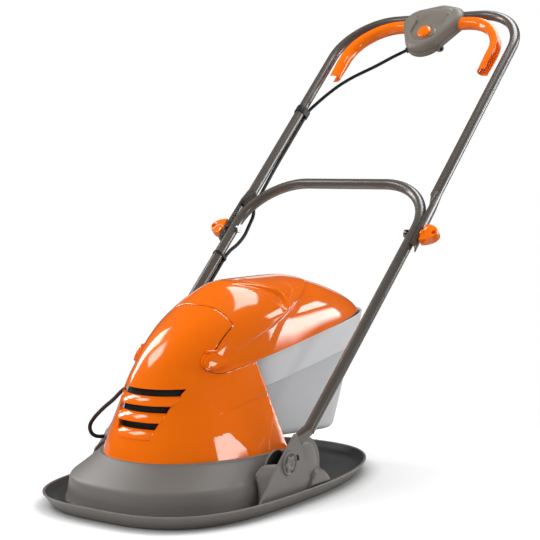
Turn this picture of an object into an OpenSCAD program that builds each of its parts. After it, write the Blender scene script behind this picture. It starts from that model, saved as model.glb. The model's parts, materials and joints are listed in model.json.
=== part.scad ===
// Hover mower with a grass box: moulded deck, hooded motor, folding tube handle.
// Millimetres. X is across, -Y is the front, +Z is up, and the deck stands on z = 0.

/* [Deck] */
// Width of the tray beside the dome
tray_w = 35; // [30:1:48]
// Length of the tray ahead of the dome
tray_front = 28; // [24:1:45]
// Rear of the rim, behind the motor axis
rim_rear = 434; // [400:1:470]
// Where the rim is widest, behind the motor axis
rim_widest = 80; // [50:1:110]
// Height of the rim's lip
rim_h = 22; // [18:1:28]
// How far the rim flares out above the floor
rim_flare = 15; // [10:1:17]
// Height of the tray floor
tray_z = 9; // [7:0.5:12]
// Half width of the dome at its ledge
dome_half_w = 155; // [150:1:157]
// Front of the dome at its ledge, ahead of the motor axis
dome_front = 150; // [140:1:153]
// Rear of the dome, behind the motor axis
dome_rear = 168; // [160:1:190]
// Height of the dome's ledge
ledge_z = 45; // [38:1:52]
// Wall of the deck moulding
deck_wall = 3; // [2:0.25:4]

/* [Hood] */
// Height of the seat under the hood
seat_z = 78; // [74:1:82]
// Width of the ledge between the dome's edge and the hood
ledge_w = 14; // [10:1:22]
// Front of the hood at its seat, ahead of the motor axis
hood_front = 97; // [90:1:105]
// Rear edge of the hood at its seat, behind the motor axis
hood_rear = 121; // [112:1:130]
// Height where the crown starts to close in
shoulder_z = 210; // [200:1:220]
// Half width at the shoulder
shoulder_half_w = 93; // [85:1:98]
// Height of the crown
crown_z = 334; // [320:1:350]
// Height where the nose starts to curve back
nose_z = 175; // [165:1:185]
// How far the nose curves back up to the crown
crown_run = 150; // [135:1:165]
// Rear of the lid, behind the motor axis
lid_rear = 478; // [450:1:500]
// Wall of the hood and lid
hood_wall = 3; // [2:0.25:4]
// Height of the lid's lower seam at the catches
seam_z = 196; // [190:1:203]
// Where the lid's side wings start, behind the motor axis
wing_y = -1; // [-6:1:8]
// Where the tongue's corners are, behind the motor axis
tongue_y = 72; // [62:1:82]
// Half width of the tongue at its corners
tongue_half_w = 70; // [64:1:76]
// How far the tongue's end is hollowed between its corners
tongue_sag = 13; // [6:1:18]
// How far the rear of the lid is tucked in under the crown
tuck_depth = 8; // [5:0.5:10]
// Gap along the seams
seam_gap = 0.8; // [0.5:0.1:1.5]
// Height of the top louvre's lower edge
louvre_z = 173.5; // [168:0.5:180]
// Height of a louvre
louvre_h = 9.5; // [6:0.5:12]
// Rise from louvre to louvre
louvre_pitch = 24; // [20:0.5:26]
// Half width of the top louvre
louvre_half_w = 60; // [50:1:64]

/* [Grass box] */
// Half width of the box under the lid
box_half_w = 89; // [82:1:91]
// Half width of the box at its floor
box_floor_half_w = 66; // [55:1:75]
// Rear of the floor, behind the motor axis
box_floor_rear = 376; // [350:1:400]
// Height of the band round the top
band_h = 42; // [30:1:50]
// How far the band stands out
band_step = 4; // [2:0.5:6]
// Wall of the box
box_wall = 2.5; // [2:0.25:3.5]
// Width of the grass duct
duct_w = 96; // [70:1:110]
// Height of the grass duct
duct_h = 56; // [40:1:70]

/* [Motor and blade] */
// Outer radius of the field core
core_r = 42; // [36:1:46]
// Height of the field core
core_h = 44; // [36:1:50]
// Radius of the motor shaft
shaft_r = 6; // [5:0.5:7]
// Radius of the impeller
impeller_r = 96; // [84:1:100]
// Number of impeller vanes
vane_count = 12; // [8:1:16]
// Length of the blade, tip to tip
blade_len = 250; // [220:1:270]
// Width of the blade
blade_w = 46; // [36:1:54]
// Height of the blade's underside
blade_z = 21; // [16:1:24]

/* [Handle] */
// Outer radius of the handle tubes
tube_r = 9.5; // [8.5:0.25:10]
// Wall of the handle tubes
tube_wall = 1.2; // [0.9:0.1:1.6]
// Lower pivot, behind the motor axis
pivot_y = 66; // [62:1:70]
// Height of the lower pivot
pivot_z = 67.5; // [65:0.5:70]
// Backward lean of the lower handle
lean_low = 46.9; // [44:0.1:50]
// Backward lean of the upper handle
lean_up = 46.5; // [44:0.1:50]
// Distance of the lower legs from the dome, at the pivot
leg_out = 26.8; // [26:0.2:28]
// Outward run of the lower legs for each unit of length
low_splay = 0.017; // [0.01:0.001:0.019]
// Length from the pivot to the fold
fold_len = 488; // [470:1:500]
// Rise of the crossbar above the fold
crossbar_rise = 122; // [115:1:130]
// Distance of the upper legs outside the axis of their saddles
leg_over_saddle = 5.3; // [4.5:0.1:6.5]
// Outward run of the upper legs for each unit of length
up_splay = 0.0096; // [0.006:0.0004:0.012]
// Length from the fold to the top bar
bar_len = 600; // [580:1:620]
// Centreline radius of the tube bends
bend_r = 107; // [95:1:115]

/* [Switch box] */
// Half width of the switch box
switch_half_w = 66; // [60:1:70]
// Depth of the switch box ahead of the bar
switch_front = 17; // [15:0.5:20]
// Depth of the switch box behind the bar
switch_rear = 16; // [14:0.5:18]
// Length of the lock-off button
button_len = 24; // [18:1:28]
// Width of the lock-off button
button_w = 17; // [13:1:19]
// Distance of the lever grips inside the handle's legs
lever_in = 36.5; // [34:0.5:46]
// Radius of the lever's channel
lever_r = 12; // [10:0.5:12.5]

/* [Lead] */
// Diameter of the inner lead
lead_d = 6.5; // [5:0.5:7]

/* [Fits] */
// Running clearance round a shaft
run_fit = 0.06; // [0.03:0.01:0.1]
// Clearance between parts that move past each other
move_gap = 0.5; // [0.3:0.1:1]
// Clearance of a piece on its seat
seat_gap = 0.3; // [0.2:0.05:0.5]

/* [Hidden] */
$fn = 48;
ring_n = 48;

orange = [0.95, 0.42, 0.03];
deck_grey = [0.43, 0.42, 0.41];
box_grey = [0.76, 0.76, 0.77];
tube_grey = [0.35, 0.32, 0.30];
black = [0.06, 0.06, 0.06];
steel = [0.70, 0.71, 0.72];
copper = [0.72, 0.42, 0.22];
zinc = [0.62, 0.62, 0.60];
brass = [0.75, 0.62, 0.30];
switch_grey = [0.47, 0.45, 0.41];

seam_slope = 0.15;
nose_power = 2;
rear_power = 3.5;
tongue_taper = 3;
lobe_run = 40;
lobe_rise = 26;
// Edge of the crown where the lid steps in, seen from the side
crown_edge_y = 57;
crown_edge_z = seam_z + 36;
crown_edge_slope = 0.36;
crown_edge_front = wing_y - 10;
crown_lap = 4;
tuck_least = 1.2;
tuck_run = 150;
nose_slope = 0.28;
hood_lean = 0.1;
lid_rear_run = 185;
rim_front_power = 3;
rim_rear_power = 2.5;

// Widths that follow from the dome
rim_half_w = dome_half_w + tray_w;
rim_front = dome_front + tray_front;
hood_half_w = dome_half_w - ledge_w;
low_half_w = dome_half_w + leg_out;
crossbar_len = fold_len + crossbar_rise;

fold_y = pivot_y + fold_len * sin(lean_low);
fold_z = pivot_z + fold_len * cos(lean_low);

// Outline of the switch box in the plane of the upper handle
switch_corner_r = 34;
switch_corner_x = switch_half_w - switch_corner_r;
switch_corner_s = bar_len - 14;
switch_tip_r = 32;
switch_tip_s = bar_len - 78;
switch_lobes = [
  [-switch_corner_x, switch_corner_s, switch_corner_r], [switch_corner_x, switch_corner_s, switch_corner_r],
  [0, switch_tip_s, switch_tip_r]
];
switch_edge = 8;
switch_bevel = 9;
switch_wall = 2.5;

// The part is centred front to rear between the rim and the switch box
back_y = fold_y + (switch_corner_s + switch_corner_r) * sin(lean_up) + switch_edge * cos(lean_up);
mid_y = (back_y - rim_front) / 2;

// Pressed flat ends and the saddles at the fold
leg_plate_t = 6;
leg_plate_w = 24;
leg_plate_end = 54;
leg_tube_start = 80;
leg_plate_in = 13.8;
leg_plate_x = low_half_w - leg_plate_in;
saddle_r = 17;
saddle_t = 2.8;
saddle_half_deg = 45;
saddle_front = 64;
saddle_tube_start = 96;
saddle_back = 30;
saddle_clear = 0.4;
saddle_edge_x = low_half_w + low_splay * fold_len + tube_r + move_gap + saddle_clear;
saddle_axis_x = saddle_edge_x - (saddle_r - saddle_t) * cos(saddle_half_deg);
saddle_out_x = saddle_axis_x + saddle_r;
up_half_w = saddle_axis_x + leg_over_saddle;
lever_half_w = up_half_w + up_splay * bar_len - lever_in;
clamp_r = 4;
pivot_r = 4;
pivot_head_r = 16;
pivot_head_t = 4.5;

// Bracket walls, across X
drum_t = 6.5;
bracket_wall_t = 4;
bracket_drum_x = leg_plate_x - 2 * move_gap;
bracket_in_x = bracket_drum_x - drum_t;
bracket_wall_x = leg_plate_x + leg_plate_t + move_gap;
bracket_out_x = bracket_wall_x + bracket_wall_t;
bracket_sill_z = rim_h - 5.5;

// Motor stack, up the axis
base_z = seat_z;
base_h = 10;
core_z = base_z + base_h + 12;
motor_top_z = core_z + core_h + 30;
motor_top_h = 6;
bearing_big_r = 16;
bearing_big_h = 10;
bearing_small_r = 11;
bearing_small_h = 7;
shaft_top_r = 4;
core_bore_r = 27;
armature_r = core_bore_r - 0.8;
commutator_r = 13;
commutator_z = core_z + core_h + 6;
commutator_h = 16;
brush_z = commutator_z + commutator_h / 2;
blade_t = 3;
spacer_t = 6;
spacer_count = 2;
spacer_r = 22;
impeller_z = blade_z + blade_t + spacer_count * spacer_t;
impeller_disc_t = 3;
impeller_top = seat_z - deck_wall - 9;
hub_r = 20;
bolt_r = 4;

// Grass box, front to rear and its tilted floor
box_front_top = hood_rear_at(seam_at(hood_rear)) + 2.5;
box_front_low = hood_rear_at(seat_z) + 2.5;
box_rear_top = lid_rear - 8;
box_rear_band = box_rear_top - 18;
box_floor_z = seat_z + seat_gap;
floor_slope = -0.075;
floor_tilt_y = hood_rear + 16;

// Lead routes from the switch box down to the bracket, one list of points for each stretch.
// Beside a handle: share of the way out to the leg, distance behind the handle's plane, distance up it.
lead_side = 7.5;
lead_behind = 10.6;
lead_upper_pts = [
  [0.145, 8, 520], [0.205, 8, 512], [0.264, 8, 503], [0.327, 7, 491], [0.394, 6, 476.5], [0.478, 5.5, 461],
  [0.571, 5, 446], [0.665, 4.5, 430], [0.75, 4, 411], [0.823, 4, 390], [0.889, 5.5, 371], [0.943, 8, 356.5],
  [0.985, 10, 345], [1, lead_behind, 335], [1, lead_behind, 316], [1, lead_behind, 250],
  [1, 10.8, 180], [1, 13, 120], [1, 15.5, 70]
];
lead_fold_pts = [
  [0.992, 18, 540], [0.982, 20, 516], [0.971, 20.5, 490], [0.977, 17.5, 464], [0.993, 13, 446]
];
lead_lower_pts = [[1, lead_behind, 430], [1, lead_behind, 330], [1, lead_behind, 240], [1, 11.5, 178]];
// In an open curve down to the bracket: offset from the leg's plate, distance behind the axis, height
lead_loop_pts = [
  [-4.2, 190, 172.5], [-2.4, 172, 166], [-2.2, 150, 159.5], [-2.8, 118, 152.5], [-3.4, 87, 144.5],
  [-3.4, 62, 131.5], [-3.4, 39, 121.5], [-3, 19, 111], [-3, 7.5, 102], [-3, 4, 94], [-3, 7, 85.5],
  [-3, 15, 79], [-3, 26, 75.5], [-3, 38, 74]
];
lead_gap = 0.3;

// Points on a superellipse: half width, front, widest place, rear, powers of the two halves, height
function spow(v, p) = sign(v) * pow(abs(v), p);
function ring(a, yf, yw, yr, nf, nr, z) = [
  for (i = [0:ring_n - 1])
    let (t = 360 * i / ring_n, c = cos(t), s = sin(t), e = s < 0 ? nf : nr)
    [a * spow(c, 2 / e), yw + (s < 0 ? yw - yf : yr - yw) * spow(s, 2 / e), z]
];
function tilted(points, y0, slope) = [for (p = points) [p[0], p[1], p[2] + slope * (p[1] - y0)]];

function rim_ring(inset, z) = ring(rim_half_w - inset, inset - rim_front, rim_widest, rim_rear - inset,
  rim_front_power, rim_rear_power, z);
function dome_ring(inset, z) = ring(dome_half_w - inset, inset - dome_front, 0, dome_rear - inset, 2.1, 5, z);
function seat_ring(inset, z) = ring(hood_half_w - inset, inset - hood_front, hood_rear,
  hood_rear + 12 - inset, 2.3, 6, z);
function round_ring(r, z) = ring(r, -r, 0, r, 2, 2, z);

// Envelope shared by the hood and the lid, one ring at a height
function crown_u(z) = max(0, (z - shoulder_z) / (crown_z - shoulder_z));
function nose_u(z) = max(0, (z - nose_z) / (crown_z - nose_z));
function envelope_half(z) = z < shoulder_z
  ? hood_half_w + (shoulder_half_w - hood_half_w) * (z - seat_z) / (shoulder_z - seat_z)
  : shoulder_half_w * sqrt(1 - pow(crown_u(z), 4));
function envelope_front(z) = -hood_front + nose_slope * (z - seat_z) + crown_run * pow(nose_u(z), nose_power);
function envelope_rear(z) = lid_rear - lid_rear_run * pow(crown_u(z), rear_power);
function envelope_mid(z) = max(hood_rear, envelope_front(z) + 0.45 * (envelope_rear(z) - envelope_front(z)));
function inner_z(z, inset) = seat_z + (z - seat_z) * (crown_z - inset - seat_z) / (crown_z - seat_z);
function envelope_ring(z, inset) = ring(max(2, envelope_half(z) - inset), envelope_front(z) + inset,
  envelope_mid(z), envelope_rear(z) - inset, 2.3, 3.7, inner_z(z, inset));
envelope_side_z = [for (k = [0:3]) seat_z + k * (shoulder_z - seat_z) / 3];
envelope_crown_u = [0.2, 0.38, 0.54, 0.67, 0.78, 0.86, 0.92, 0.96, 0.985, 0.998];
envelope_z = concat(envelope_side_z, [for (u = envelope_crown_u) shoulder_z + u * (crown_z - shoulder_z)]);
function seam_at(y) = seam_z + seam_slope * (y - wing_y);
function hood_rear_at(z) = hood_rear - hood_lean * (z - seat_z);
function crown_edge_at(y) = crown_edge_z + crown_edge_slope * (y - crown_edge_y);
// How far in the lid is tucked at a place: nothing at the seam, most just under the crown's edge
function clamp01(v) = max(0, min(1, v));
function tuck_at(y, z) =
  (tuck_least + (tuck_depth - tuck_least) * clamp01((y - crown_edge_y) / tuck_run))
  * clamp01((z - seam_at(y)) / max(1, crown_edge_at(y) - seam_at(y)));
function tucked_ring(z, inset) = [
  for (p = envelope_ring(z, inset))
    let (d = [-p[0], envelope_mid(z) - p[1], 0])
    p + tuck_at(p[1], p[2]) * d / max(1, norm(d))
];

// Skin between rings listed from the bottom up, with both ends closed
module loft(rings) {
  n = len(rings[0]);
  m = len(rings);
  polyhedron(
    points = [for (r = rings) each r],
    faces = concat(
      [[for (i = [0:n - 1]) i]],
      [for (k = [0:m - 2], i = [0:n - 1]) let (a = k * n + i, b = k * n + (i + 1) % n)
        each [[a, a + n, b + n], [a, b + n, b]]],
      [[for (i = [n - 1:-1:0]) (m - 1) * n + i]]
    )
  );
}

// Skin whose last ring joins its first, for a moulding with a hole through it
module loft_loop(rings) {
  n = len(rings[0]);
  m = len(rings);
  polyhedron(
    points = [for (r = rings) each r],
    faces = [for (k = [0:m - 1], i = [0:n - 1])
      let (a = k * n + i, b = k * n + (i + 1) % n, c = (a + n) % (n * m), d = (b + n) % (n * m))
      each [[a, c, d], [a, d, b]]]
  );
}

// Round tube of a given diameter along points, with square ends
lead_sides = 8;
function unit(v) = v / norm(v);
function path_dir(p, i) = unit(p[min(i + 1, len(p) - 1)] - p[max(i - 1, 0)]);
function path_ring(p, i, r) =
  let (d = path_dir(p, i), u = unit(cross(d, abs(d[0]) > 0.9 ? [0, 1, 0] : [1, 0, 0])), v = cross(d, u))
  [for (k = [0:lead_sides - 1]) let (t = 360 * k / lead_sides) p[i] + r * (cos(t) * u + sin(t) * v)];
module cord(p, d) {
  loft([for (i = [0:len(p) - 1]) path_ring(p, i, d / 2)]);
}

module place() {
  translate([0, -mid_y, 0]) children();
}
module on_lower() {
  translate([0, pivot_y, pivot_z]) rotate([-lean_low, 0, 0]) children();
}
module on_upper() {
  translate([0, fold_y, fold_z]) rotate([-lean_up, 0, 0]) children();
}
module side_prism(half, points) {
  rotate([90, 0, 90]) linear_extrude(2 * half, center = true) polygon(points);
}
module x_cylinder(r, x0, x1) {
  translate([x0, 0, 0]) rotate([0, 90, 0]) cylinder(r = r, h = x1 - x0);
}
module both_sides() {
  children();
  mirror([1, 0, 0]) children();
}

// Deck: one moulding from the skirt over the lip, tray, ledge and seat and back underneath
module deck() {
  color(deck_grey) place() difference() {
    loft_loop([
      rim_ring(rim_flare, 0), rim_ring(1, rim_h - 3), rim_ring(0, rim_h - 1), rim_ring(1, rim_h),
      rim_ring(3, rim_h), rim_ring(4, rim_h - 1), rim_ring(rim_flare + 1, tray_z),
      dome_ring(-4.5, tray_z), dome_ring(0, ledge_z - 3), dome_ring(3, ledge_z),
      seat_ring(-3, seat_z - 1.5), seat_ring(-1.5, seat_z),
      round_ring(core_r, seat_z), round_ring(core_r, seat_z - deck_wall),
      seat_ring(4, seat_z - deck_wall), dome_ring(deck_wall + 3, ledge_z - deck_wall),
      dome_ring(deck_wall - 4.5, tray_z - deck_wall), rim_ring(rim_flare + deck_wall, tray_z - deck_wall),
      rim_ring(rim_flare + deck_wall, 0)
    ]);
    motor_screw_places() translate([0, 0, seat_z - 2 * deck_wall]) cylinder(r = 2.6, h = 4 * deck_wall);
  }
}

// Handle bracket: outer wall, inner drum, sill, curved front strip and a rounded foot behind
bracket_front_y = pivot_y - 62;
bracket_drum_y = pivot_y + 60;
bracket_drum_r = 46;
bracket_drum_z = pivot_z - 15.5;
module bracket_body() {
  wall_profile = [
    [pivot_y - 74, bracket_sill_z], [pivot_y + 66, bracket_sill_z], [pivot_y + 27, pivot_z + 37],
    [pivot_y + 21, pivot_z + 41], [pivot_y + 14, pivot_z + 37]
  ];
  drum_profile = [[bracket_front_y, tray_z], [bracket_drum_y + bracket_drum_r, tray_z],
    [bracket_drum_y + bracket_drum_r, bracket_drum_z], [bracket_drum_y, bracket_drum_z + bracket_drum_r],
    [pivot_y - 24, pivot_z + 14], [pivot_y - 60, pivot_z - 12]];
  translate([bracket_wall_x, 0, 0]) rotate([90, 0, 90])
    linear_extrude(bracket_wall_t) polygon(wall_profile);
  translate([bracket_in_x, 0, 0]) rotate([90, 0, 90]) linear_extrude(bracket_drum_x - bracket_in_x) {
    difference() {
      union() {
        polygon(drum_profile);
        translate([bracket_drum_y, bracket_drum_z]) circle(r = bracket_drum_r);
        translate([pivot_y - 26, pivot_z + 3]) circle(r = 20);
      }
      translate([bracket_front_y - bracket_drum_r, tray_z - 2 * bracket_drum_r])
        square([6 * bracket_drum_r, 2 * bracket_drum_r]);
      translate([pivot_y - 26, pivot_z + 3]) circle(r = 15);
    }
  }
  // sill between the walls
  sill_in = bracket_wall_x - bracket_wall_t;
  sill_t = 10;
  translate([bracket_in_x, bracket_front_y, tray_z])
    cube([sill_in - bracket_in_x, bracket_drum_y + bracket_drum_r - bracket_front_y, sill_t]);
  translate([sill_in, pivot_y - 70, bracket_sill_z])
    cube([bracket_wall_t, 134, tray_z + sill_t - bracket_sill_z]);
  // curved strip closing the front below the pocket
  strip_r = 60;
  translate([bracket_in_x, 0, 0]) rotate([90, 0, 90]) linear_extrude(bracket_wall_x - bracket_in_x) {
    intersection() {
      difference() {
        translate([bracket_front_y + strip_r, tray_z + 30]) circle(r = strip_r);
        translate([bracket_front_y + strip_r, tray_z + 30]) circle(r = strip_r - 3);
      }
      translate([bracket_front_y - 1, bracket_sill_z]) square([22, tray_z + 60 - bracket_sill_z]);
    }
  }
  // stop under the leg
  on_lower() translate([bracket_drum_x - 0.5, leg_plate_w / 2 + seat_gap + 3, 40]) rotate([0, 90, 0])
    cylinder(r = 3, h = bracket_wall_x - bracket_drum_x + 1);
  // rounded foot on the tray behind the drum
  foot_h = 30;
  foot_len = 62;
  intersection() {
    translate([bracket_in_x - 10, bracket_drum_y + bracket_drum_r - 12, tray_z])
      cylinder(r1 = foot_len, r2 = 26, h = foot_h);
    translate([bracket_in_x, bracket_drum_y, tray_z]) cube([drum_t - 2, 2 * foot_len, 2 * foot_h]);
  }
}
module bracket_right_solid() {
  difference() {
    bracket_body();
    translate([0, pivot_y, pivot_z]) x_cylinder(pivot_r + run_fit, bracket_in_x - 1, bracket_out_x + 1);
    translate([bracket_in_x - 1, pivot_y + 24, pivot_z - 2]) cube([bracket_out_x, 9, 9]);
    translate([(bracket_in_x + bracket_wall_x) / 2, pivot_y - 40, tray_z - 1])
      cylinder(r = 2.6, h = pivot_z - tray_z);
  }
}
module bracket_right() {
  color(deck_grey) place() bracket_right_solid();
}
module bracket_left() {
  color(deck_grey) place() mirror([1, 0, 0]) bracket_right_solid();
}

// Pivot bolt: plain shank and a lobed head on the outer wall
pivot_lobes = 6;
module pivot_bolt_solid() {
  translate([0, pivot_y, pivot_z]) {
    x_cylinder(pivot_r, bracket_in_x, bracket_out_x + 1);
    difference() {
      x_cylinder(pivot_head_r, bracket_out_x, bracket_out_x + pivot_head_t);
      for (k = [0:pivot_lobes - 1]) rotate([k * 360 / pivot_lobes, 0, 0])
        translate([0, 0, 9]) x_cylinder(3.4, bracket_out_x + 2, bracket_out_x + pivot_head_t + 1);
    }
  }
}
module pivot_bolt_right() {
  color(deck_grey) place() pivot_bolt_solid();
}
module pivot_bolt_left() {
  color(deck_grey) place() mirror([1, 0, 0]) pivot_bolt_solid();
}

// Hood and lid: one envelope, parted along the seams
module envelope(inset, heights = envelope_z) {
  loft([for (z = heights) envelope_ring(z, inset)]);
}
reach = rim_front + rim_rear;
// Space of the lid, grown or shrunk: above the seam and behind a round lobe, outside the hood's tongue
module lid_zone(grow) {
  lobe = [
    for (t = [0:22.5:90])
      let (y = wing_y + lobe_run * (1 - sin(t))) [y, seam_at(y) + lobe_rise * (1 - cos(t))]
  ];
  front_half = tongue_half_w - tongue_taper;
  difference() {
    rotate([90, 0, 90]) linear_extrude(2 * reach, center = true) offset(delta = grow)
      polygon(concat([[reach, seam_at(reach)]], lobe, [[wing_y, 2 * crown_z], [reach, 2 * crown_z]]));
    linear_extrude(2 * crown_z) offset(delta = -grow) polygon([
      [front_half, -reach], [front_half, wing_y], [tongue_half_w, tongue_y], [0, tongue_y - tongue_sag],
      [-tongue_half_w, tongue_y], [-front_half, wing_y], [-front_half, -reach]
    ]);
  }
}
module behind_hood(inset) {
  side_prism(reach, [
    [hood_rear_at(0) - inset, 0], [reach, 0], [reach, 2 * crown_z],
    [hood_rear_at(2 * crown_z) - inset, 2 * crown_z]
  ]);
}
module hood_space(inset) {
  difference() {
    envelope(inset);
    lid_zone(inset);
    behind_hood(inset);
  }
}
// Lid form: tucked in at the rear, with the crown standing over the tuck
module lid_space(inset) {
  intersection() {
    loft([for (z = envelope_z) tucked_ring(z, inset)]);
    side_prism(reach, [
      [-reach, 0], [reach, 0], [reach, crown_edge_at(reach) + inset + crown_lap],
      [crown_edge_front, crown_edge_at(crown_edge_front) + inset + crown_lap],
      [-reach, crown_edge_at(crown_edge_front) + inset + crown_lap]
    ]);
  }
  intersection() {
    envelope(inset);
    side_prism(reach, [
      [crown_edge_front, crown_edge_at(crown_edge_front) + inset], [reach, crown_edge_at(reach) + inset],
      [reach, 3 * crown_z], [crown_edge_front, 3 * crown_z]
    ]);
  }
}
// Finger scoops, one on each side of the crown: a cone lying in the skin from its tail to its head
scoop_tail = [32, 134, 336];
scoop_tail_r = 8;
scoop_head = [75, 190, 327];
scoop_head_r = 22;
module cone_between(from, to, r1, r2, over) {
  d = to - from;
  translate(from) rotate([0, acos(d[2] / norm(d)), atan2(d[1], d[0])]) translate([0, 0, -over])
    cylinder(r1 = r1, r2 = r2, h = norm(d) + 2 * over);
}
module scoops(grow) {
  both_sides() cone_between(scoop_tail, scoop_head, scoop_tail_r + grow, scoop_head_r + grow, grow);
}
module louvres() {
  taper = 0.42;
  for (k = [0:2]) {
    z = louvre_z - k * louvre_pitch;
    half = louvre_half_w - taper * k * louvre_pitch;
    translate([0, -20, z]) rotate([90, 0, 0]) linear_extrude(reach)
      polygon([
        [taper * louvre_h - half, 0], [half - taper * louvre_h, 0], [half, louvre_h], [-half, louvre_h]
      ]);
  }
}
duct_z = seat_z + 14;
module hood() {
  color(orange) place() difference() {
    hood_space(0);
    translate([0, 0, -0.01]) hood_space(hood_wall);
    louvres();
    translate([-duct_w / 2, hood_rear - 40, duct_z]) cube([duct_w, 60, duct_h]);
  }
}
module intake_mesh() {
  mesh_out = hood_wall + seat_gap;
  color(black) place() intersection() {
    difference() {
      envelope(mesh_out, envelope_side_z);
      envelope(mesh_out + 1.2, envelope_side_z);
    }
    translate([-louvre_half_w - 4, -reach, louvre_z - 2 * louvre_pitch - 5])
      cube([2 * louvre_half_w + 8, reach - 10, 2 * louvre_pitch + louvre_h + 10]);
  }
}
knuckle_r = 4.5;
knuckle_half = 24;
knuckle_w = 14;
// Web from each knuckle forwards into the lid's rear wall, clear over the box's rim
knuckle_reach = 19;
knuckle_web_h = 9;
knuckle_lap = 0.6;
hinge_pin_r = 2;
lid_hinge_y = box_rear_top + knuckle_r + move_gap;
hinge_drop = 3;
lid_hinge_z = seam_at(lid_hinge_y) - hinge_drop;
knuckle_web_z = hinge_drop + move_gap;
module lid() {
  mid_half = knuckle_half - knuckle_w / 2;
  color(orange) place() difference() {
    union() {
      difference() {
        intersection() {
          lid_space(0);
          lid_zone(-seam_gap);
        }
        scoops(0);
        difference() {
          translate([0, 0, -0.01]) lid_space(hood_wall);
          scoops(hood_wall);
        }
        translate([0, lid_hinge_y, lid_hinge_z]) x_cylinder(knuckle_r + move_gap, -mid_half, mid_half);
      }
      for (side = [-1, 1]) translate([side * knuckle_half, lid_hinge_y, lid_hinge_z]) {
        x_cylinder(knuckle_r, -knuckle_w / 2, knuckle_w / 2);
        side_prism(knuckle_w / 2, [
          [-knuckle_reach, knuckle_web_z], [0, knuckle_web_z], [0, knuckle_r - knuckle_lap],
          [-knuckle_reach, knuckle_web_z + knuckle_web_h]
        ]);
      }
    }
    translate([0, lid_hinge_y, lid_hinge_z]) x_cylinder(hinge_pin_r + run_fit, -reach, reach);
  }
}

// Grass box: open tub with a band round its top and ears for the lid's hinge
function box_ring(a, yf, yr, z, slope, y0) = tilted(ring(a, yf, (yf + yr) / 2, yr, 7, 4.5, z), y0, slope);
module box_loft(inset, lift) {
  loft([
    box_ring(box_floor_half_w - 6 - inset, box_front_low + 6 + inset, box_floor_rear - 6 - inset,
      box_floor_z + inset, floor_slope, floor_tilt_y),
    box_ring(box_floor_half_w - inset, box_front_low + inset, box_floor_rear - inset,
      box_floor_z + 7 + inset, floor_slope, floor_tilt_y),
    box_ring(box_half_w - 2 - band_step - inset, box_front_top + 3 + inset, box_rear_band - band_step - inset,
      seam_z - band_h - 1.5, seam_slope, wing_y),
    box_ring(box_half_w - 2 - inset, box_front_top + 2 + inset, box_rear_band - inset,
      seam_z - band_h, seam_slope, wing_y),
    box_ring(box_half_w - inset, box_front_top + inset, box_rear_top - inset,
      seam_z - seam_gap + lift, seam_slope, wing_y)
  ]);
}
module grass_box() {
  barrel_half = knuckle_half - knuckle_w / 2 - move_gap;
  color(box_grey) place() difference() {
    union() {
      difference() {
        box_loft(0, 0);
        box_loft(box_wall, 0.5);
      }
      translate([0, lid_hinge_y, lid_hinge_z]) {
        x_cylinder(knuckle_r, -barrel_half, barrel_half);
        translate([-barrel_half, -knuckle_r - move_gap - 1, -knuckle_r])
          cube([2 * barrel_half, knuckle_r + move_gap + 1, knuckle_r]);
      }
    }
    translate([0, lid_hinge_y, lid_hinge_z]) x_cylinder(hinge_pin_r, -reach, reach);
    translate([-duct_w / 2, hood_rear - 40, duct_z]) cube([duct_w, 60, duct_h]);
  }
}
module lid_hinge_pin() {
  color(steel) place() translate([0, lid_hinge_y, lid_hinge_z])
    x_cylinder(hinge_pin_r, -knuckle_half - 8, knuckle_half + 8);
}

// Catch: two-tier lozenge lying on the skin over the lid's front lobe, with a hinge barrel at its top
catch_x = 70;
catch_y = 20;
catch_z = seam_z + 24;
catch_turn = 22;
catch_t = 4;
catch_top_t = 7;
catch_heights = [for (k = [0:4]) seam_z - 12 + k * 18];
catch_barrel = [-1.5, -2, 15];
catch_barrel_r = 2.2;
module catch_profile(inset) {
  hull() {
    translate([-11, -1]) circle(r = 11 - inset, $fn = 32);
    translate([-2, 1]) circle(r = 13.5 - inset, $fn = 32);
    translate([21, -1]) circle(r = 5 - inset, $fn = 32);
  }
}
module catch_tier(inset, top) {
  intersection() {
    envelope(-top, catch_heights);
    translate([catch_x, catch_y, catch_z]) rotate([0, 0, -catch_turn]) translate([-30, 0, 0])
      rotate([90, 0, 90]) linear_extrude(60) catch_profile(inset);
  }
}
module catch_solid() {
  difference() {
    union() {
      catch_tier(0, catch_t);
      catch_tier(3, catch_top_t);
      translate([catch_x, catch_y, catch_z]) rotate([0, 0, -catch_turn]) translate(catch_barrel)
        rotate([90, 0, 0]) cylinder(r = catch_barrel_r, h = 18, center = true);
    }
    envelope(-seat_gap, catch_heights);
  }
}
module catch_right() {
  color(orange) place() catch_solid();
}
module catch_left() {
  color(orange) place() mirror([1, 0, 0]) catch_solid();
}

// Motor, standing on the deck with its shaft down through the seat
motor_screw_r = core_r + 8;
module motor_screw_places() {
  for (k = [0:3]) rotate([0, 0, 45 + 90 * k]) translate([motor_screw_r, 0, 0]) children();
}
module motor_base() {
  color(zinc) place() difference() {
    union() {
      translate([0, 0, base_z]) cylinder(r = core_r + 14, h = 4);
      translate([0, 0, base_z - 12]) cylinder(r = bearing_big_r + 5, h = 12 + base_h);
      for (k = [0:3]) rotate([0, 0, 90 * k]) translate([core_r - 7, -6, base_z])
        cube([12, 12, core_z - base_z]);
    }
    translate([0, 0, base_z + base_h - bearing_big_h - 2]) cylinder(r = bearing_big_r, h = 20);
    translate([0, 0, base_z - 20]) cylinder(r = shaft_r + 4, h = 60);
    motor_screw_places() translate([0, 0, base_z - 1]) cylinder(r = 2.6, h = 8);
  }
}
module lower_bearing() {
  color(steel) place() translate([0, 0, base_z + base_h - bearing_big_h - 2]) difference() {
    cylinder(r = bearing_big_r, h = bearing_big_h);
    translate([0, 0, -1]) cylinder(r = shaft_r + run_fit, h = bearing_big_h + 2);
  }
}
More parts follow.
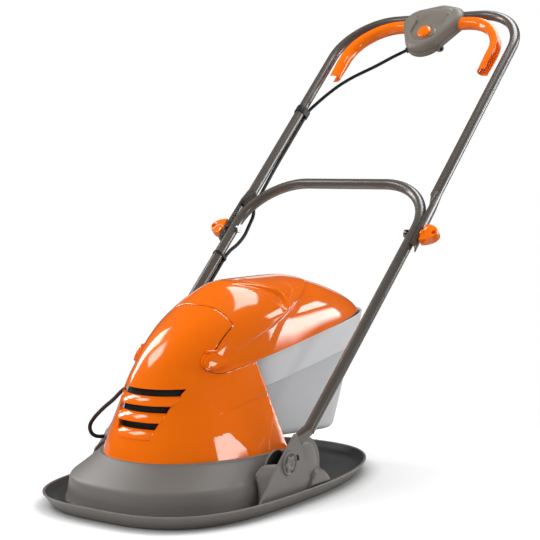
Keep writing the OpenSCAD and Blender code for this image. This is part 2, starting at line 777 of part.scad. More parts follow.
module motor_core() {
  color(steel) place() translate([0, 0, core_z]) difference() {
    cylinder(r = core_r, h = core_h);
    translate([0, 0, -1]) cylinder(r = core_bore_r, h = core_h + 2);
    for (side = [-1, 1]) translate([side * 30.5, 0, core_h / 2]) cube([7.2, 40.4, core_h + 2], center = true);
    both_sides() translate([core_r, -15, -1]) rotate([0, 0, 90]) cube([30, 6, core_h + 2]);
  }
}
module motor_coils() {
  color(copper) place() for (side = [-1, 1])
    translate([side * 30.5, 0, core_z + core_h / 2]) cube([7, 40, core_h + 18], center = true);
}
module motor_top() {
  color(zinc) place() difference() {
    union() {
      translate([0, 0, motor_top_z]) cylinder(r = 18, h = motor_top_h + 4);
      translate([-core_r + 2, -9, motor_top_z]) cube([2 * core_r - 4, 18, motor_top_h]);
      for (side = [-1, 1]) translate([side * (core_r - 5) - 3, -9, core_z + core_h])
        cube([6, 18, motor_top_z - core_z - core_h + 1]);
    }
    translate([0, 0, motor_top_z - 1]) cylinder(r = bearing_small_r, h = bearing_small_h + 1);
    translate([0, 0, motor_top_z - 1]) cylinder(r = shaft_top_r + 3, h = 30);
    for (side = [-1, 1]) translate([side * (core_r - 5), 0, brush_z]) cube([20, 9.2, 9.2], center = true);
  }
}
module top_bearing() {
  color(steel) place() translate([0, 0, motor_top_z]) difference() {
    cylinder(r = bearing_small_r, h = bearing_small_h);
    translate([0, 0, -1]) cylinder(r = shaft_top_r + run_fit, h = bearing_small_h + 2);
  }
}
brush_size = 6;
module brush_holders() {
  color(brass) place() for (side = [-1, 1])
    translate([side * (core_r - 10), 0, brush_z]) difference() {
      cube([26, 9, 9], center = true);
      cube([30, brush_size, brush_size], center = true);
    }
}
module brushes() {
  color(black) place() for (side = [-1, 1])
    translate([side * (commutator_r + move_gap + 9), 0, brush_z])
      cube([18, brush_size, brush_size], center = true);
}
module motor_screws() {
  color(steel) place() motor_screw_places() {
    translate([0, 0, base_z - deck_wall - 2]) cylinder(r = 2.5, h = deck_wall + 6);
    translate([0, 0, base_z + 4]) cylinder(r = 5, h = 3);
  }
}

// Rotor: shaft, armature, commutator, impeller, spacers and blade turn together
module shaft() {
  color(steel) place() difference() {
    union() {
      translate([0, 0, impeller_z]) cylinder(r = shaft_r, h = commutator_z + commutator_h + 2 - impeller_z);
      translate([0, 0, impeller_z]) cylinder(r = shaft_top_r, h = motor_top_z + motor_top_h - impeller_z);
    }
    translate([0, 0, impeller_z - 1]) cylinder(r = bolt_r, h = 21);
  }
}
slot_count = 12;
module armature() {
  color(steel) place() translate([0, 0, core_z]) difference() {
    cylinder(r = armature_r, h = core_h);
    translate([0, 0, -1]) cylinder(r = shaft_r, h = core_h + 2);
    for (k = [0:slot_count - 1]) rotate([0, 0, k * 360 / slot_count]) translate([armature_r - 7, -1.5, -1])
      cube([10, 3, core_h + 2]);
  }
}
module commutator() {
  color(copper) place() translate([0, 0, commutator_z]) difference() {
    cylinder(r = commutator_r, h = commutator_h);
    translate([0, 0, -1]) cylinder(r = shaft_r, h = commutator_h + 2);
    for (k = [0:2 * slot_count - 1]) rotate([0, 0, k * 180 / slot_count])
      translate([commutator_r - 1, -0.3, -1]) cube([3, 0.6, commutator_h + 2]);
  }
}
module impeller() {
  vane_h = impeller_top - impeller_z;
  vane_r = 0.6 * impeller_r;
  vane_t = 2.5;
  color(black) place() translate([0, 0, impeller_z]) difference() {
    union() {
      cylinder(r = impeller_r, h = impeller_disc_t);
      cylinder(r = hub_r, h = vane_h - impeller_disc_t);
      for (k = [0:vane_count - 1]) rotate([0, 0, k * 360 / vane_count]) intersection() {
        translate([impeller_r / 2, -impeller_r / 3, 0]) difference() {
          cylinder(r = vane_r, h = vane_h);
          translate([0, 0, -1]) cylinder(r = vane_r - vane_t, h = vane_h + 2);
        }
        translate([hub_r - 4, 0, 1]) cube([impeller_r, impeller_r, vane_h]);
        cylinder(r = impeller_r, h = vane_h);
      }
    }
    translate([0, 0, -1]) cylinder(r = shaft_r, h = vane_h + 2);
    translate([0, 0, vane_h - impeller_disc_t]) cylinder(r = bearing_big_r + 8, h = vane_h);
  }
}
module spacers() {
  color(black) place() for (k = [0:spacer_count - 1])
    translate([0, 0, blade_z + blade_t + k * spacer_t]) difference() {
      cylinder(r = spacer_r, h = spacer_t);
      translate([0, 0, -1]) cylinder(r = bolt_r, h = spacer_t + 2);
    }
}
module blade() {
  tip_sweep = 18;
  end = sqrt(pow(blade_len / 2, 2) - pow(blade_w / 2, 2));
  color(steel) place() translate([0, 0, blade_z]) difference() {
    linear_extrude(blade_t) polygon([[end, blade_w / 2 - tip_sweep], [end, blade_w / 2], [0, blade_w / 2 + 4],
      [-end + 60, blade_w / 2], [-end, tip_sweep - blade_w / 2], [-end, -blade_w / 2], [0, -blade_w / 2 - 4],
      [end - 60, -blade_w / 2]]);
    translate([0, 0, -1]) cylinder(r = bolt_r, h = blade_t + 2);
  }
}
module blade_washer() {
  color(steel) place() translate([0, 0, blade_z - 2]) difference() {
    cylinder(r = 14, h = 2);
    translate([0, 0, -1]) cylinder(r = bolt_r, h = 4);
  }
}
module blade_bolt() {
  color(steel) place() {
    translate([0, 0, blade_z - 9]) cylinder(r = 8, h = 7, $fn = 6);
    translate([0, 0, blade_z - 3]) cylinder(r = bolt_r, h = impeller_z - blade_z + 18);
  }
}

// Handles. A leg leans out a little, bends inward and meets the bar.
// Each bend is swollen by a hair, so that its end face stands proud of the straight tube.
bend_swell = 0.05;
bend_lap = 0.4;
// A blended end steps by this much where it meets a straight piece
join_in = 0.06;
function splay_deg(k) = atan(k);
function bend_start(half, k, len) = let (a = splay_deg(k)) (len - bend_r - bend_r * sin(a)) / cos(a);
function bend_x(half, k, len) = let (a = splay_deg(k))
  half + bend_start(half, k, len) * sin(a) - bend_r * cos(a);
module leg_run(half, k, r, from, to) {
  translate([half, 0, 0]) rotate([0, splay_deg(k), 0]) translate([0, 0, from]) cylinder(r = r, h = to - from);
}
module handle_tube(half, k, len, from, r) {
  x = bend_x(half, k, len);
  a = splay_deg(k);
  both_sides() {
    leg_run(half, k, r, from, bend_start(half, k, len) + bend_lap);
    translate([x, 0, len - bend_r]) rotate([90, 0, 0]) rotate([0, 0, -a])
      rotate_extrude(angle = 90 + a) translate([bend_r, 0]) circle(r = r + bend_swell);
  }
  translate([0, 0, len]) x_cylinder(r, -x - bend_lap, x + bend_lap);
}
module leg_flat() {
  hull() {
    translate([leg_plate_x + join_in, join_in - leg_plate_w / 2, leg_plate_end - 3])
      cube([leg_plate_t - 2 * join_in, leg_plate_w - 2 * join_in, 2]);
    leg_run(low_half_w, low_splay, tube_r + 2 * join_in, leg_tube_start, leg_tube_start + 1, $fn = 32);
  }
  translate([leg_plate_x, -leg_plate_w / 2, 0]) cube([leg_plate_t, leg_plate_w, leg_plate_end]);
  x_cylinder(leg_plate_w / 2 - join_in, leg_plate_x + join_in, leg_plate_x + leg_plate_t - join_in);
}
module lower_handle() {
  color(tube_grey) place() on_lower() difference() {
    union() {
      handle_tube(low_half_w, low_splay, crossbar_len, leg_tube_start - 4, tube_r);
      both_sides() leg_flat();
    }
    handle_tube(low_half_w, low_splay, crossbar_len, leg_tube_start + 6, tube_r - tube_wall);
    both_sides() x_cylinder(pivot_r + run_fit, leg_plate_x - 1, leg_plate_x + leg_plate_t + 1);
    both_sides() translate([0, 0, fold_len]) x_cylinder(clamp_r, low_half_w - 30, low_half_w + 40);
  }
}
module saddle_profile(grow) {
  edge = 2 * saddle_r;
  translate([saddle_axis_x, 0]) intersection() {
    difference() {
      circle(r = saddle_r + grow);
      circle(r = saddle_r - saddle_t - grow);
    }
    polygon([[-2 * grow, 0], [edge * cos(saddle_half_deg) - 2 * grow, -edge * sin(saddle_half_deg)],
      [edge * cos(saddle_half_deg) - 2 * grow, edge * sin(saddle_half_deg)]]);
  }
}
module saddle() {
  translate([0, 0, -saddle_back]) linear_extrude(saddle_back + saddle_front) saddle_profile(0);
  hull() {
    translate([0, 0, saddle_front - 1]) linear_extrude(2) saddle_profile(join_in, $fn = 32);
    leg_run(up_half_w, up_splay, tube_r + 2 * join_in, saddle_tube_start, saddle_tube_start + 1, $fn = 32);
  }
}
module upper_handle() {
  color(tube_grey) place() on_upper() difference() {
    union() {
      handle_tube(up_half_w, up_splay, bar_len, saddle_tube_start - 4, tube_r);
      both_sides() saddle();
    }
    handle_tube(up_half_w, up_splay, bar_len, saddle_tube_start + 6, tube_r - tube_wall);
    both_sides() x_cylinder(clamp_r + run_fit, saddle_axis_x, saddle_out_x + 5);
    translate([0, 0, bar_len]) cylinder(r = 2, h = 4 * tube_r, center = true);
  }
}

// Clamp: bolt through both tubes at the fold, and a wing knob outside
knob_x = saddle_out_x + move_gap;
knob_reach = 27;
knob_half_h = 18;
knob_t = 15;
module clamp_bolt_solid() {
  x_in = low_half_w + low_splay * fold_len - tube_r;
  translate([0, fold_y, fold_z]) {
    x_cylinder(clamp_r, x_in - 1, knob_x + 14);
    x_cylinder(8, x_in - 5, x_in - 0.2);
  }
}
module clamp_bolt_right() {
  color(steel) place() clamp_bolt_solid();
}
module clamp_bolt_left() {
  color(steel) place() mirror([1, 0, 0]) clamp_bolt_solid();
}
module knob_solid() {
  translate([0, fold_y, fold_z]) rotate([-lean_up, 0, 0]) difference() {
    union() {
      x_cylinder(9, knob_x, knob_x + 6);
      intersection() {
        translate([knob_x + 4, 0, 0]) scale([knob_reach / knob_half_h, 1, 1]) rotate([90, 0, 0])
          cylinder(r = knob_half_h, h = knob_t, center = true);
        translate([knob_x + 3, -20, -30]) cube([60, 40, 60]);
      }
    }
    x_cylinder(clamp_r + run_fit, knob_x - 1, knob_x + 15);
    translate([knob_x + knob_reach - 2, 0, 0]) rotate([90, 0, 0])
      cylinder(r = 4, h = knob_t + 2, center = true);
  }
}
module knob_right() {
  color(orange) place() knob_solid();
}
module knob_left() {
  color(orange) place() mirror([1, 0, 0]) knob_solid();
}

// Switch box: two shells closed round the top bar
module switch_hull(edge, depth, inset) {
  hull() {
    for (p = switch_lobes) translate([p[0], 0, p[1]]) rotate([90, 0, 0]) {
      cylinder(r = p[2] - inset, h = edge, $fn = 32);
      cylinder(r = p[2] - inset - switch_bevel, h = depth, $fn = 32);
    }
  }
}
module bar_bore() {
  translate([0, 0, bar_len]) x_cylinder(tube_r, -2 * switch_half_w, 2 * switch_half_w);
}
lever_s = bar_len - 24;
lever_bend_r = 70;
lever_end_s = bar_len - 186;
lever_pin_x = 40;
lever_pin_r = 3;
module lever_window() {
  translate([0, 0, lever_s - 4]) cube([4 * switch_half_w, 2 * lever_r + 2, 2 * lever_r + 7], center = true);
}
button_s = bar_len - 62;
module oval(len, w, h) {
  hull() for (side = [-1, 1]) translate([side * (len - w) / 2, 0, 0]) cylinder(r = w / 2, h = h, $fn = 32);
}
module button_place() {
  translate([0, -switch_front, button_s]) rotate([90, 0, 0]) rotate([0, 0, 20]) children();
}
switch_screw_places = [[-26, bar_len - 44], [26, bar_len - 44], [0, bar_len - 98]];
screw_r = 2;
screw_head_r = 3.6;
screw_head_t = 2;
boss_r = 4.5;
module at_switch_screws() {
  for (p = switch_screw_places) translate([p[0], 0, p[1]]) rotate([90, 0, 0]) children();
}
module switch_front_shell() {
  color(switch_grey) place() on_upper() difference() {
    union() {
      difference() {
        switch_hull(switch_edge, switch_front, 0);
        switch_hull(switch_edge - switch_wall, switch_front - switch_wall, switch_wall);
      }
      at_switch_screws() translate([0, 0, 0.2]) cylinder(r = boss_r, h = switch_front - 1.5);
    }
    at_switch_screws() translate([0, 0, -1]) cylinder(r = screw_r, h = 9);
    bar_bore();
    lever_window();
    button_place() translate([0, 0, -8]) oval(button_len + 2 * move_gap, button_w + 2 * move_gap, 20);
    translate([0, -switch_front + 1, bar_len - 22]) cube([62, 2.1, 7], center = true);
  }
}
module switch_rear_shell() {
  color(switch_grey) place() on_upper() difference() {
    union() {
      mirror([0, 1, 0]) difference() {
        switch_hull(switch_edge, switch_rear, 0);
        switch_hull(switch_edge - switch_wall, switch_rear - switch_wall, switch_wall);
      }
      at_switch_screws() translate([0, 0, 1 - switch_rear]) cylinder(r = boss_r, h = switch_rear - 1);
    }
    at_switch_screws() translate([0, 0, -switch_rear - 1]) cylinder(r = screw_r + 0.2, h = switch_rear + 2);
    at_switch_screws() translate([0, 0, -switch_rear - 1])
      cylinder(r = screw_head_r + 0.4, h = screw_head_t + 1.5);
    bar_bore();
    lever_window();
    lead_gland_place() cylinder(r = gland_r + 0.1, h = 60, center = true);
    mains_gland_place() cylinder(r = gland_r + 0.1, h = 60, center = true);
  }
}
gland_r = 6;
gland_x = 28;
gland_behind = 8;
gland_s = bar_len - 80;
gland_turn = 125;
module lead_gland_place() {
  translate([-gland_x, gland_behind, gland_s]) rotate([0, -gland_turn, 0]) children();
}
// The mains lead leaves a little to the rear, so that it clears the handle's leg
mains_tilt = 6;
module mains_gland_place() {
  translate([gland_x, gland_behind, gland_s]) rotate([0, gland_turn, 0]) rotate([-mains_tilt, 0, 0])
    children();
}
module gland_solid(bore) {
  difference() {
    union() {
      translate([0, 0, -10]) cylinder(r = gland_r, h = 24);
      translate([0, 0, 7.2]) cylinder(r = gland_r + 2, h = 3);
    }
    translate([0, 0, -11]) cylinder(r = bore, h = 40);
  }
}
module lead_gland() {
  color(black) place() on_upper() lead_gland_place() gland_solid(lead_d / 2);
}
mains_bore_r = 4;
module mains_gland() {
  color(black) place() on_upper() mains_gland_place() gland_solid(mains_bore_r);
}
switch_unit_t = 12;
spring_h = switch_front + switch_rear - switch_wall - switch_unit_t - seat_gap - 6;
module lock_button() {
  color(orange) place() on_upper() button_place() {
    translate([0, 0, -6]) oval(button_len, button_w, 9);
    translate([0, 0, -6]) oval(button_len + 3, button_w + 3, 2.5);
  }
}
module button_spring() {
  color(steel) place() on_upper() button_place() translate([0, 0, -spring_h - 6]) difference() {
    cylinder(r = 4, h = spring_h);
    translate([0, 0, -1]) cylinder(r = 3, h = spring_h + 2);
  }
}

// Start lever: a channel open towards the tube, bent round inside the handle's corner
lever_wall = 2.6;
module lever_profile() {
  difference() {
    union() {
      circle(r = lever_r);
      translate([0, -lever_r]) square([lever_r * 0.6, 2 * lever_r]);
    }
    circle(r = lever_r - lever_wall);
    translate([0, lever_wall - lever_r]) square([2 * lever_r, 2 * (lever_r - lever_wall)]);
    translate([lever_r * 0.6, -lever_r - 1]) square([2 * lever_r, 2 * lever_r + 2]);
  }
}
module lever_solid() {
  x_bend = lever_half_w - lever_bend_r;
  difference() {
    union() {
      translate([lever_pin_x - 8, 0, lever_s]) rotate([0, 90, 0]) rotate([0, 0, 180])
        linear_extrude(x_bend - lever_pin_x + 8) lever_profile();
      translate([x_bend, 0, lever_s - lever_bend_r]) rotate([90, 0, 0])
        rotate_extrude(angle = 90) translate([lever_bend_r, 0]) lever_profile();
      translate([lever_half_w, 0, lever_end_s])
        linear_extrude(lever_s - lever_bend_r - lever_end_s) lever_profile();
      translate([lever_pin_x, lever_r, lever_s]) rotate([90, 0, 0]) cylinder(r = 7, h = 2 * lever_r);
    }
    translate([lever_pin_x, 0, lever_s]) rotate([90, 0, 0])
      cylinder(r = lever_pin_r + run_fit, h = 4 * lever_r, center = true);
  }
}
module lever_right() {
  color(orange) place() on_upper() lever_solid();
}
module lever_left() {
  color(orange) place() on_upper() mirror([1, 0, 0]) lever_solid();
}
module lever_pins() {
  room = switch_rear + switch_front - 2 * switch_wall;
  color(steel) place() on_upper() both_sides()
    translate([lever_pin_x, switch_rear - switch_wall - seat_gap, lever_s]) rotate([90, 0, 0])
      cylinder(r = lever_pin_r, h = room - 2 * seat_gap);
}
module switch_unit() {
  color(black) place() on_upper()
    translate([0, switch_rear - switch_wall - switch_unit_t / 2 - seat_gap, button_s])
    cube([34, switch_unit_t, 24], center = true);
}
module switch_screws() {
  color(steel) place() on_upper() at_switch_screws() {
    translate([0, 0, 0.5 - switch_rear]) cylinder(r = screw_head_r, h = screw_head_t);
    translate([0, 0, 0.5 - switch_rear]) cylinder(r = screw_r, h = switch_rear + 6);
  }
}

// Lead, with its clip on the upper leg and its tie on the lower leg
function up_leg_x(s) = up_half_w + up_splay * s;
function low_leg_x(s) = low_half_w + low_splay * s;
function upper_pt(p) = [
  -p[0] * (up_leg_x(p[2]) - lead_side),
  fold_y + p[2] * sin(lean_up) + p[1] * cos(lean_up),
  fold_z + p[2] * cos(lean_up) - p[1] * sin(lean_up)
];
function lower_pt(p) = [
  -p[0] * (low_leg_x(p[2]) - lead_side),
  pivot_y + p[2] * sin(lean_low) + p[1] * cos(lean_low),
  pivot_z + p[2] * cos(lean_low) - p[1] * sin(lean_low)
];
// The first two points of a stretch that carries straight on from the end of another
function carry_on(p) = let (e = p[len(p) - 1], d = unit(e - p[len(p) - 2]))
  [e + lead_gap * d, e + lead_d * d];
lead_upper_path = [for (p = lead_upper_pts) upper_pt(p)];
lead_fold_path = concat(carry_on(lead_upper_path), [for (p = lead_fold_pts) lower_pt(p)]);
lead_lower_path = concat(carry_on(lead_fold_path), [for (p = lead_lower_pts) lower_pt(p)]);
lead_loop_path = concat(carry_on(lead_lower_path),
  [for (p = lead_loop_pts) [p[0] - leg_plate_x, p[1], p[2]]]);
module lead_upper() {
  color(black) place() cord(lead_upper_path, lead_d);
}
module lead_fold() {
  color(black) place() cord(lead_fold_path, lead_d);
}
module lead_lower() {
  color(black) place() cord(lead_lower_path, lead_d);
}
module lead_loop() {
  color(black) place() cord(lead_loop_path, lead_d);
}
clip_s = 326;
tie_s = 420;
module lead_band(wall, h) {
  linear_extrude(h, center = true) difference() {
    hull() {
      circle(r = tube_r + wall, $fn = 32);
      translate([lead_side, lead_behind]) circle(r = lead_d / 2 + wall, $fn = 32);
    }
    circle(r = tube_r + 0.1);
    translate([lead_side, lead_behind]) circle(r = lead_d / 2 + 0.1);
  }
}
module lead_clip() {
  color(black) place() on_upper() translate([-up_leg_x(clip_s), 0, clip_s]) lead_band(2, 16);
}
module lead_tie() {
  color(black) place() on_lower() translate([-low_leg_x(tie_s), 0, tie_s]) lead_band(1.2, 5);
}

deck();
bracket_left();
bracket_right();
pivot_bolt_left();
pivot_bolt_right();
hood();
intake_mesh();
lid();
grass_box();
lid_hinge_pin();
catch_left();
catch_right();
motor_base();
motor_core();
motor_coils();
motor_top();
top_bearing();
lower_bearing();
brush_holders();
brushes();
motor_screws();
shaft();
armature();
commutator();
impeller();
spacers();
blade();
blade_washer();
blade_bolt();
lower_handle();
upper_handle();
clamp_bolt_left();
clamp_bolt_right();
knob_left();
knob_right();
switch_front_shell();
switch_rear_shell();
lock_button();
button_spring();
lever_left();
lever_right();
lever_pins();
switch_unit();
switch_screws();
lead_gland();
mains_gland();
lead_clip();
lead_tie();
lead_upper();
lead_fold();
lead_lower();
lead_loop();
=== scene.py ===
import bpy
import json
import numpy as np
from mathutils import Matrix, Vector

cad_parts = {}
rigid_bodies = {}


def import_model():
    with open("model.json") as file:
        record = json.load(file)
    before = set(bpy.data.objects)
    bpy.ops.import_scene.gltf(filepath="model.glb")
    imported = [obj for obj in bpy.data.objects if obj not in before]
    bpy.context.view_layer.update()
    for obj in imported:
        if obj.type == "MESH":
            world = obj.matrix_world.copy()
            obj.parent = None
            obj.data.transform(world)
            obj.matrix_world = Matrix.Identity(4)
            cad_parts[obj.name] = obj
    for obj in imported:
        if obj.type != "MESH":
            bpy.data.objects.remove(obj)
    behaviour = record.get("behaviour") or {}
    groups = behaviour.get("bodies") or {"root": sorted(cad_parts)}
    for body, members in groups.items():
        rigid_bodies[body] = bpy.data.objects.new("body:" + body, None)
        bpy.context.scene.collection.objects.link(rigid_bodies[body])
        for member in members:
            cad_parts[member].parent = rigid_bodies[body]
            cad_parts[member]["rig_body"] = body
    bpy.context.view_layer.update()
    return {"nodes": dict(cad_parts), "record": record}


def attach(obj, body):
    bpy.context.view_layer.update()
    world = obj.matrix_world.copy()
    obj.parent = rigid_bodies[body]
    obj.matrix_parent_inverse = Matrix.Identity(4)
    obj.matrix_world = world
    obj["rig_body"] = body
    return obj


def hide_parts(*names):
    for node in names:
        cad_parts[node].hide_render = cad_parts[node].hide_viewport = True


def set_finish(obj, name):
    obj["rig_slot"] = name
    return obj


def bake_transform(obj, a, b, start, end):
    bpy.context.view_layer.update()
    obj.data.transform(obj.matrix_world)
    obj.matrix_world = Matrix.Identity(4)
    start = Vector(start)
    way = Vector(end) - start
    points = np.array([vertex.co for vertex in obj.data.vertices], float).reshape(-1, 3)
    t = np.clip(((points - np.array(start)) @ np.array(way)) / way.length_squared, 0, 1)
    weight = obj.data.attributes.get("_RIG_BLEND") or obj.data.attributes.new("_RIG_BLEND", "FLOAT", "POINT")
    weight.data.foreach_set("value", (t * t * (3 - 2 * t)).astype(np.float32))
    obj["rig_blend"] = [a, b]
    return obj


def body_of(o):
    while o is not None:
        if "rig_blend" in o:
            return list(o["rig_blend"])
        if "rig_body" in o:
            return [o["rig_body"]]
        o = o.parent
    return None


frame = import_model()

import json
import math
import bmesh
import bpy
import numpy as np
from mathutils import Vector

scene = bpy.context.scene
nodes = frame["nodes"]
slots = {part["node"]: part["material_slot"] for part in frame["record"]["subparts"]}
MM = 0.001

# Camera
AZIMUTH, ELEVATION = 35.179, 4.367
cam_data = bpy.data.cameras.new("camera")
cam_data.sensor_width = 36.0
cam_data.lens = 91.67
cam = bpy.data.objects.new("camera", cam_data)
cam.location = (1.3402, -1.9817, 0.5189)
cam.rotation_euler = (math.radians(90 - ELEVATION), 0, math.radians(AZIMUTH))
scene.collection.objects.link(cam)
scene.camera = cam

# Sizes shared with the solids, in millimetres
PIVOT_Y, PIVOT_Z, LEAN_LOW, LEAN_UP, FOLD_LEN = 66.0, 67.5, 46.9, 46.5, 488.0
FOLD_Y = PIVOT_Y + FOLD_LEN * math.sin(math.radians(LEAN_LOW))
FOLD_Z = PIVOT_Z + FOLD_LEN * math.cos(math.radians(LEAN_LOW))
BAR = 600.0
RIM_FRONT = 178.0
BACK_Y = FOLD_Y + (BAR + 20) * math.sin(math.radians(LEAN_UP)) + 8 * math.cos(math.radians(LEAN_UP))
MID_Y = (BACK_Y - RIM_FRONT) / 2
LOW_X, LOW_SPLAY = 181.8, 0.017
UP_X, UP_SPLAY = 195.755, 0.0096
PLATE_X = 168.0


def placed(p):
    """A point of the source, in millimetres, as a point of the frame, in metres."""
    return (p[0] * MM, (p[1] - MID_Y) * MM, p[2] * MM)


def leaning(p, y, z, lean):
    """x, distance behind the handle's plane, distance up the handle."""
    a = math.radians(lean)
    return (p[0], y + p[2] * math.sin(a) + p[1] * math.cos(a), z + p[2] * math.cos(a) - p[1] * math.sin(a))


def on_upper(p):
    return leaning(p, FOLD_Y, FOLD_Z, LEAN_UP)


def on_lower(p):
    return leaning(p, PIVOT_Y, PIVOT_Z, LEAN_LOW)


def step01(v):
    """Smooth step from 0 to 1."""
    v = np.clip(v, 0, 1)
    return v * v * (3 - 2 * v)


# Mesh helpers
def new_object(name, verts, faces):
    mesh = bpy.data.meshes.new(name)
    mesh.from_pydata([tuple(v) for v in verts], [], faces)
    mesh.validate()
    obj = bpy.data.objects.new(name, mesh)
    scene.collection.objects.link(obj)
    return obj


def smooth(obj, angle=35):
    obj.data.shade_smooth()
    obj.data.set_sharp_from_angle(angle=math.radians(angle))


def object_from(bm, name):
    """A working mesh as an object of the scene."""
    mesh = bpy.data.meshes.new(name)
    bm.to_mesh(mesh)
    bm.free()
    obj = bpy.data.objects.new(name, mesh)
    scene.collection.objects.link(obj)
    return obj


def copy_of(node, name):
    """A copy of a solid, and a working mesh of it with its corners joined."""
    source = nodes[node]
    obj = bpy.data.objects.new(name, source.data.copy())
    scene.collection.objects.link(obj)
    obj.matrix_world = source.matrix_world.copy()
    bm = bmesh.new()
    bm.from_mesh(obj.data)
    bmesh.ops.remove_doubles(bm, verts=bm.verts[:], dist=1e-6)
    return obj, bm


def face_out(obj):
    """Turn the faces of a mesh the same way, outwards."""
    bm = bmesh.new()
    bm.from_mesh(obj.data)
    bmesh.ops.recalc_face_normals(bm, faces=bm.faces[:])
    bm.to_mesh(obj.data)
    bm.free()


def bands(rows, n):
    """Faces between closed rows of n points each."""
    faces = []
    for k in range(rows - 1):
        for i in range(n):
            a, b = k * n + i, k * n + (i + 1) % n
            faces.append((a, b, b + n, a + n))
    return faces


pieces = {}


def stands_for(obj, node):
    """The piece is shown in place of a solid, with its finish, and moves with its body."""
    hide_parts(node)
    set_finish(obj, slots[node])
    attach(obj, body_of(nodes[node])[0])
    pieces[node] = obj


def catmull(points, step):
    """Smooth line through points, in steps of about the given length."""
    p = np.array(points, float)
    p = np.vstack([2 * p[0] - p[1], p, 2 * p[-1] - p[-2]])
    out = []
    for i in range(1, len(p) - 2):
        n = max(2, int(np.linalg.norm(p[i + 1] - p[i]) / step))
        for k in range(n):
            t = k / n
            out.append(0.5 * (2 * p[i] + (p[i + 1] - p[i - 1]) * t
                              + (2 * p[i - 1] - 5 * p[i] + 4 * p[i + 1] - p[i + 2]) * t * t
                              + (3 * p[i] - p[i - 1] - 3 * p[i + 1] + p[i + 2]) * t ** 3))
    out.append(p[-2])
    return np.array(out)


def tube(name, path, radius, sides=20):
    """Round tube along a path, with closed ends."""
    path = np.array(path, float)
    d = np.gradient(path, axis=0)
    d /= np.linalg.norm(d, axis=1)[:, None]
    u = np.cross(d[0], [0, 0, 1.0] if abs(d[0][2]) < 0.9 else [1.0, 0, 0])
    u /= np.linalg.norm(u)
    verts = []
    for i, c in enumerate(path):
        u = u - d[i] * np.dot(u, d[i])
        u /= np.linalg.norm(u)
        v = np.cross(d[i], u)
        for k in range(sides):
            t = 2 * math.pi * k / sides
            verts.append(c + radius * (math.cos(t) * u + math.sin(t) * v))
    faces = bands(len(path), sides)
    faces.append(tuple(range(sides - 1, -1, -1)))
    faces.append(tuple((len(path) - 1) * sides + k for k in range(sides)))
    obj = new_object(name, verts, faces)
    smooth(obj)
    return obj


def ring(a, yf, yw, yr, nf, nr, z, count):
    """Superellipse: half width, front, widest place, rear, powers of the two halves, height."""
    t = 2 * math.pi * np.arange(count) / count
    c, s = np.cos(t), np.sin(t)
    c[np.abs(c) < 1e-9] = 0
    e = np.where(s < 0, nf, nr)
    x = a * np.sign(c) * np.abs(c) ** (2 / e)
    y = yw + np.where(s < 0, yw - yf, yr - yw) * np.sign(s) * np.abs(s) ** (2 / e)
    return np.stack([x, y, np.full(count, float(z))], axis=1)


def filleted(rings, radii, turns=5):
    """Rings of a skin with the corner at each ring rounded off by its radius."""
    out = []
    for k, here in enumerate(rings):
        if not radii[k]:
            out.append(here)
            continue
        before, after = rings[k - 1] - here, rings[(k + 1) % len(rings)] - here
        la = np.linalg.norm(before, axis=1)[:, None]
        lb = np.linalg.norm(after, axis=1)[:, None]
        a = here + before / la * np.minimum(radii[k], 0.48 * la)
        b = here + after / lb * np.minimum(radii[k], 0.48 * lb)
        for i in range(turns + 1):
            t = i / turns
            out.append((1 - t) ** 2 * a + 2 * t * (1 - t) * here + t * t * b)
    return out


def skin(name, rings):
    """Skin over rings from the outside bottom round, the last ring joined to the first."""
    n, m = len(rings[0]), len(rings)
    faces = [tuple(i % (n * m) for i in f) for f in bands(m + 1, n)]
    return new_object(name, [placed(p) for r in rings for p in r], faces)


# Hood and lid: one smooth envelope, cut along the seams and worked into its details
SEAT_Z, HOOD_HALF, HOOD_FRONT, HOOD_REAR, HOOD_LEAN = 78.0, 141.0, 97.0, 121.0, 0.1
SHOULDER_Z, SHOULDER_HALF, CROWN_Z = 210.0, 93.0, 334.0
NOSE_Z, NOSE_SLOPE, CROWN_RUN, NOSE_POWER = 175.0, 0.28, 150.0, 2.0
LID_REAR, LID_REAR_RUN, REAR_POWER = 478.0, 185.0, 3.5
SEAM_Z, SEAM_SLOPE, SEAM_GAP, WING_Y = 196.0, 0.15, 0.8, -1.0
LOBE_RUN, LOBE_RISE = 40.0, 26.0
TONGUE_Y, TONGUE_HALF, TONGUE_SAG, TONGUE_TAPER = 72.0, 70.0, 13.0, 3.0
EDGE_Y, EDGE_Z, EDGE_SLOPE = 57.0, 232.0, 0.36
TUCK, TUCK_LEAST, TUCK_RUN = 8.0, 1.2, 150.0
LOUVRE_Z, LOUVRE_H, LOUVRE_PITCH, LOUVRE_HALF, LOUVRE_TAPER = 172.5, 11.0, 24.0, 60.0, 0.42
HOOD_WALL = 3.0
# Creases of the flank: a place on each, y and z, and the slopes from there
CREASE_Y, CREASE_Z, CREASE_SLOPE, CREASE_FALL = 10.0, 115.0, 0.205, 1.06
UPPER_Y, UPPER_Z, UPPER_SLOPE = -10.0, 142.0, 0.202


def seam_at(y):
    return SEAM_Z + SEAM_SLOPE * (y - WING_Y)


def hood_rear_at(z):
    return HOOD_REAR - HOOD_LEAN * (z - SEAT_Z)


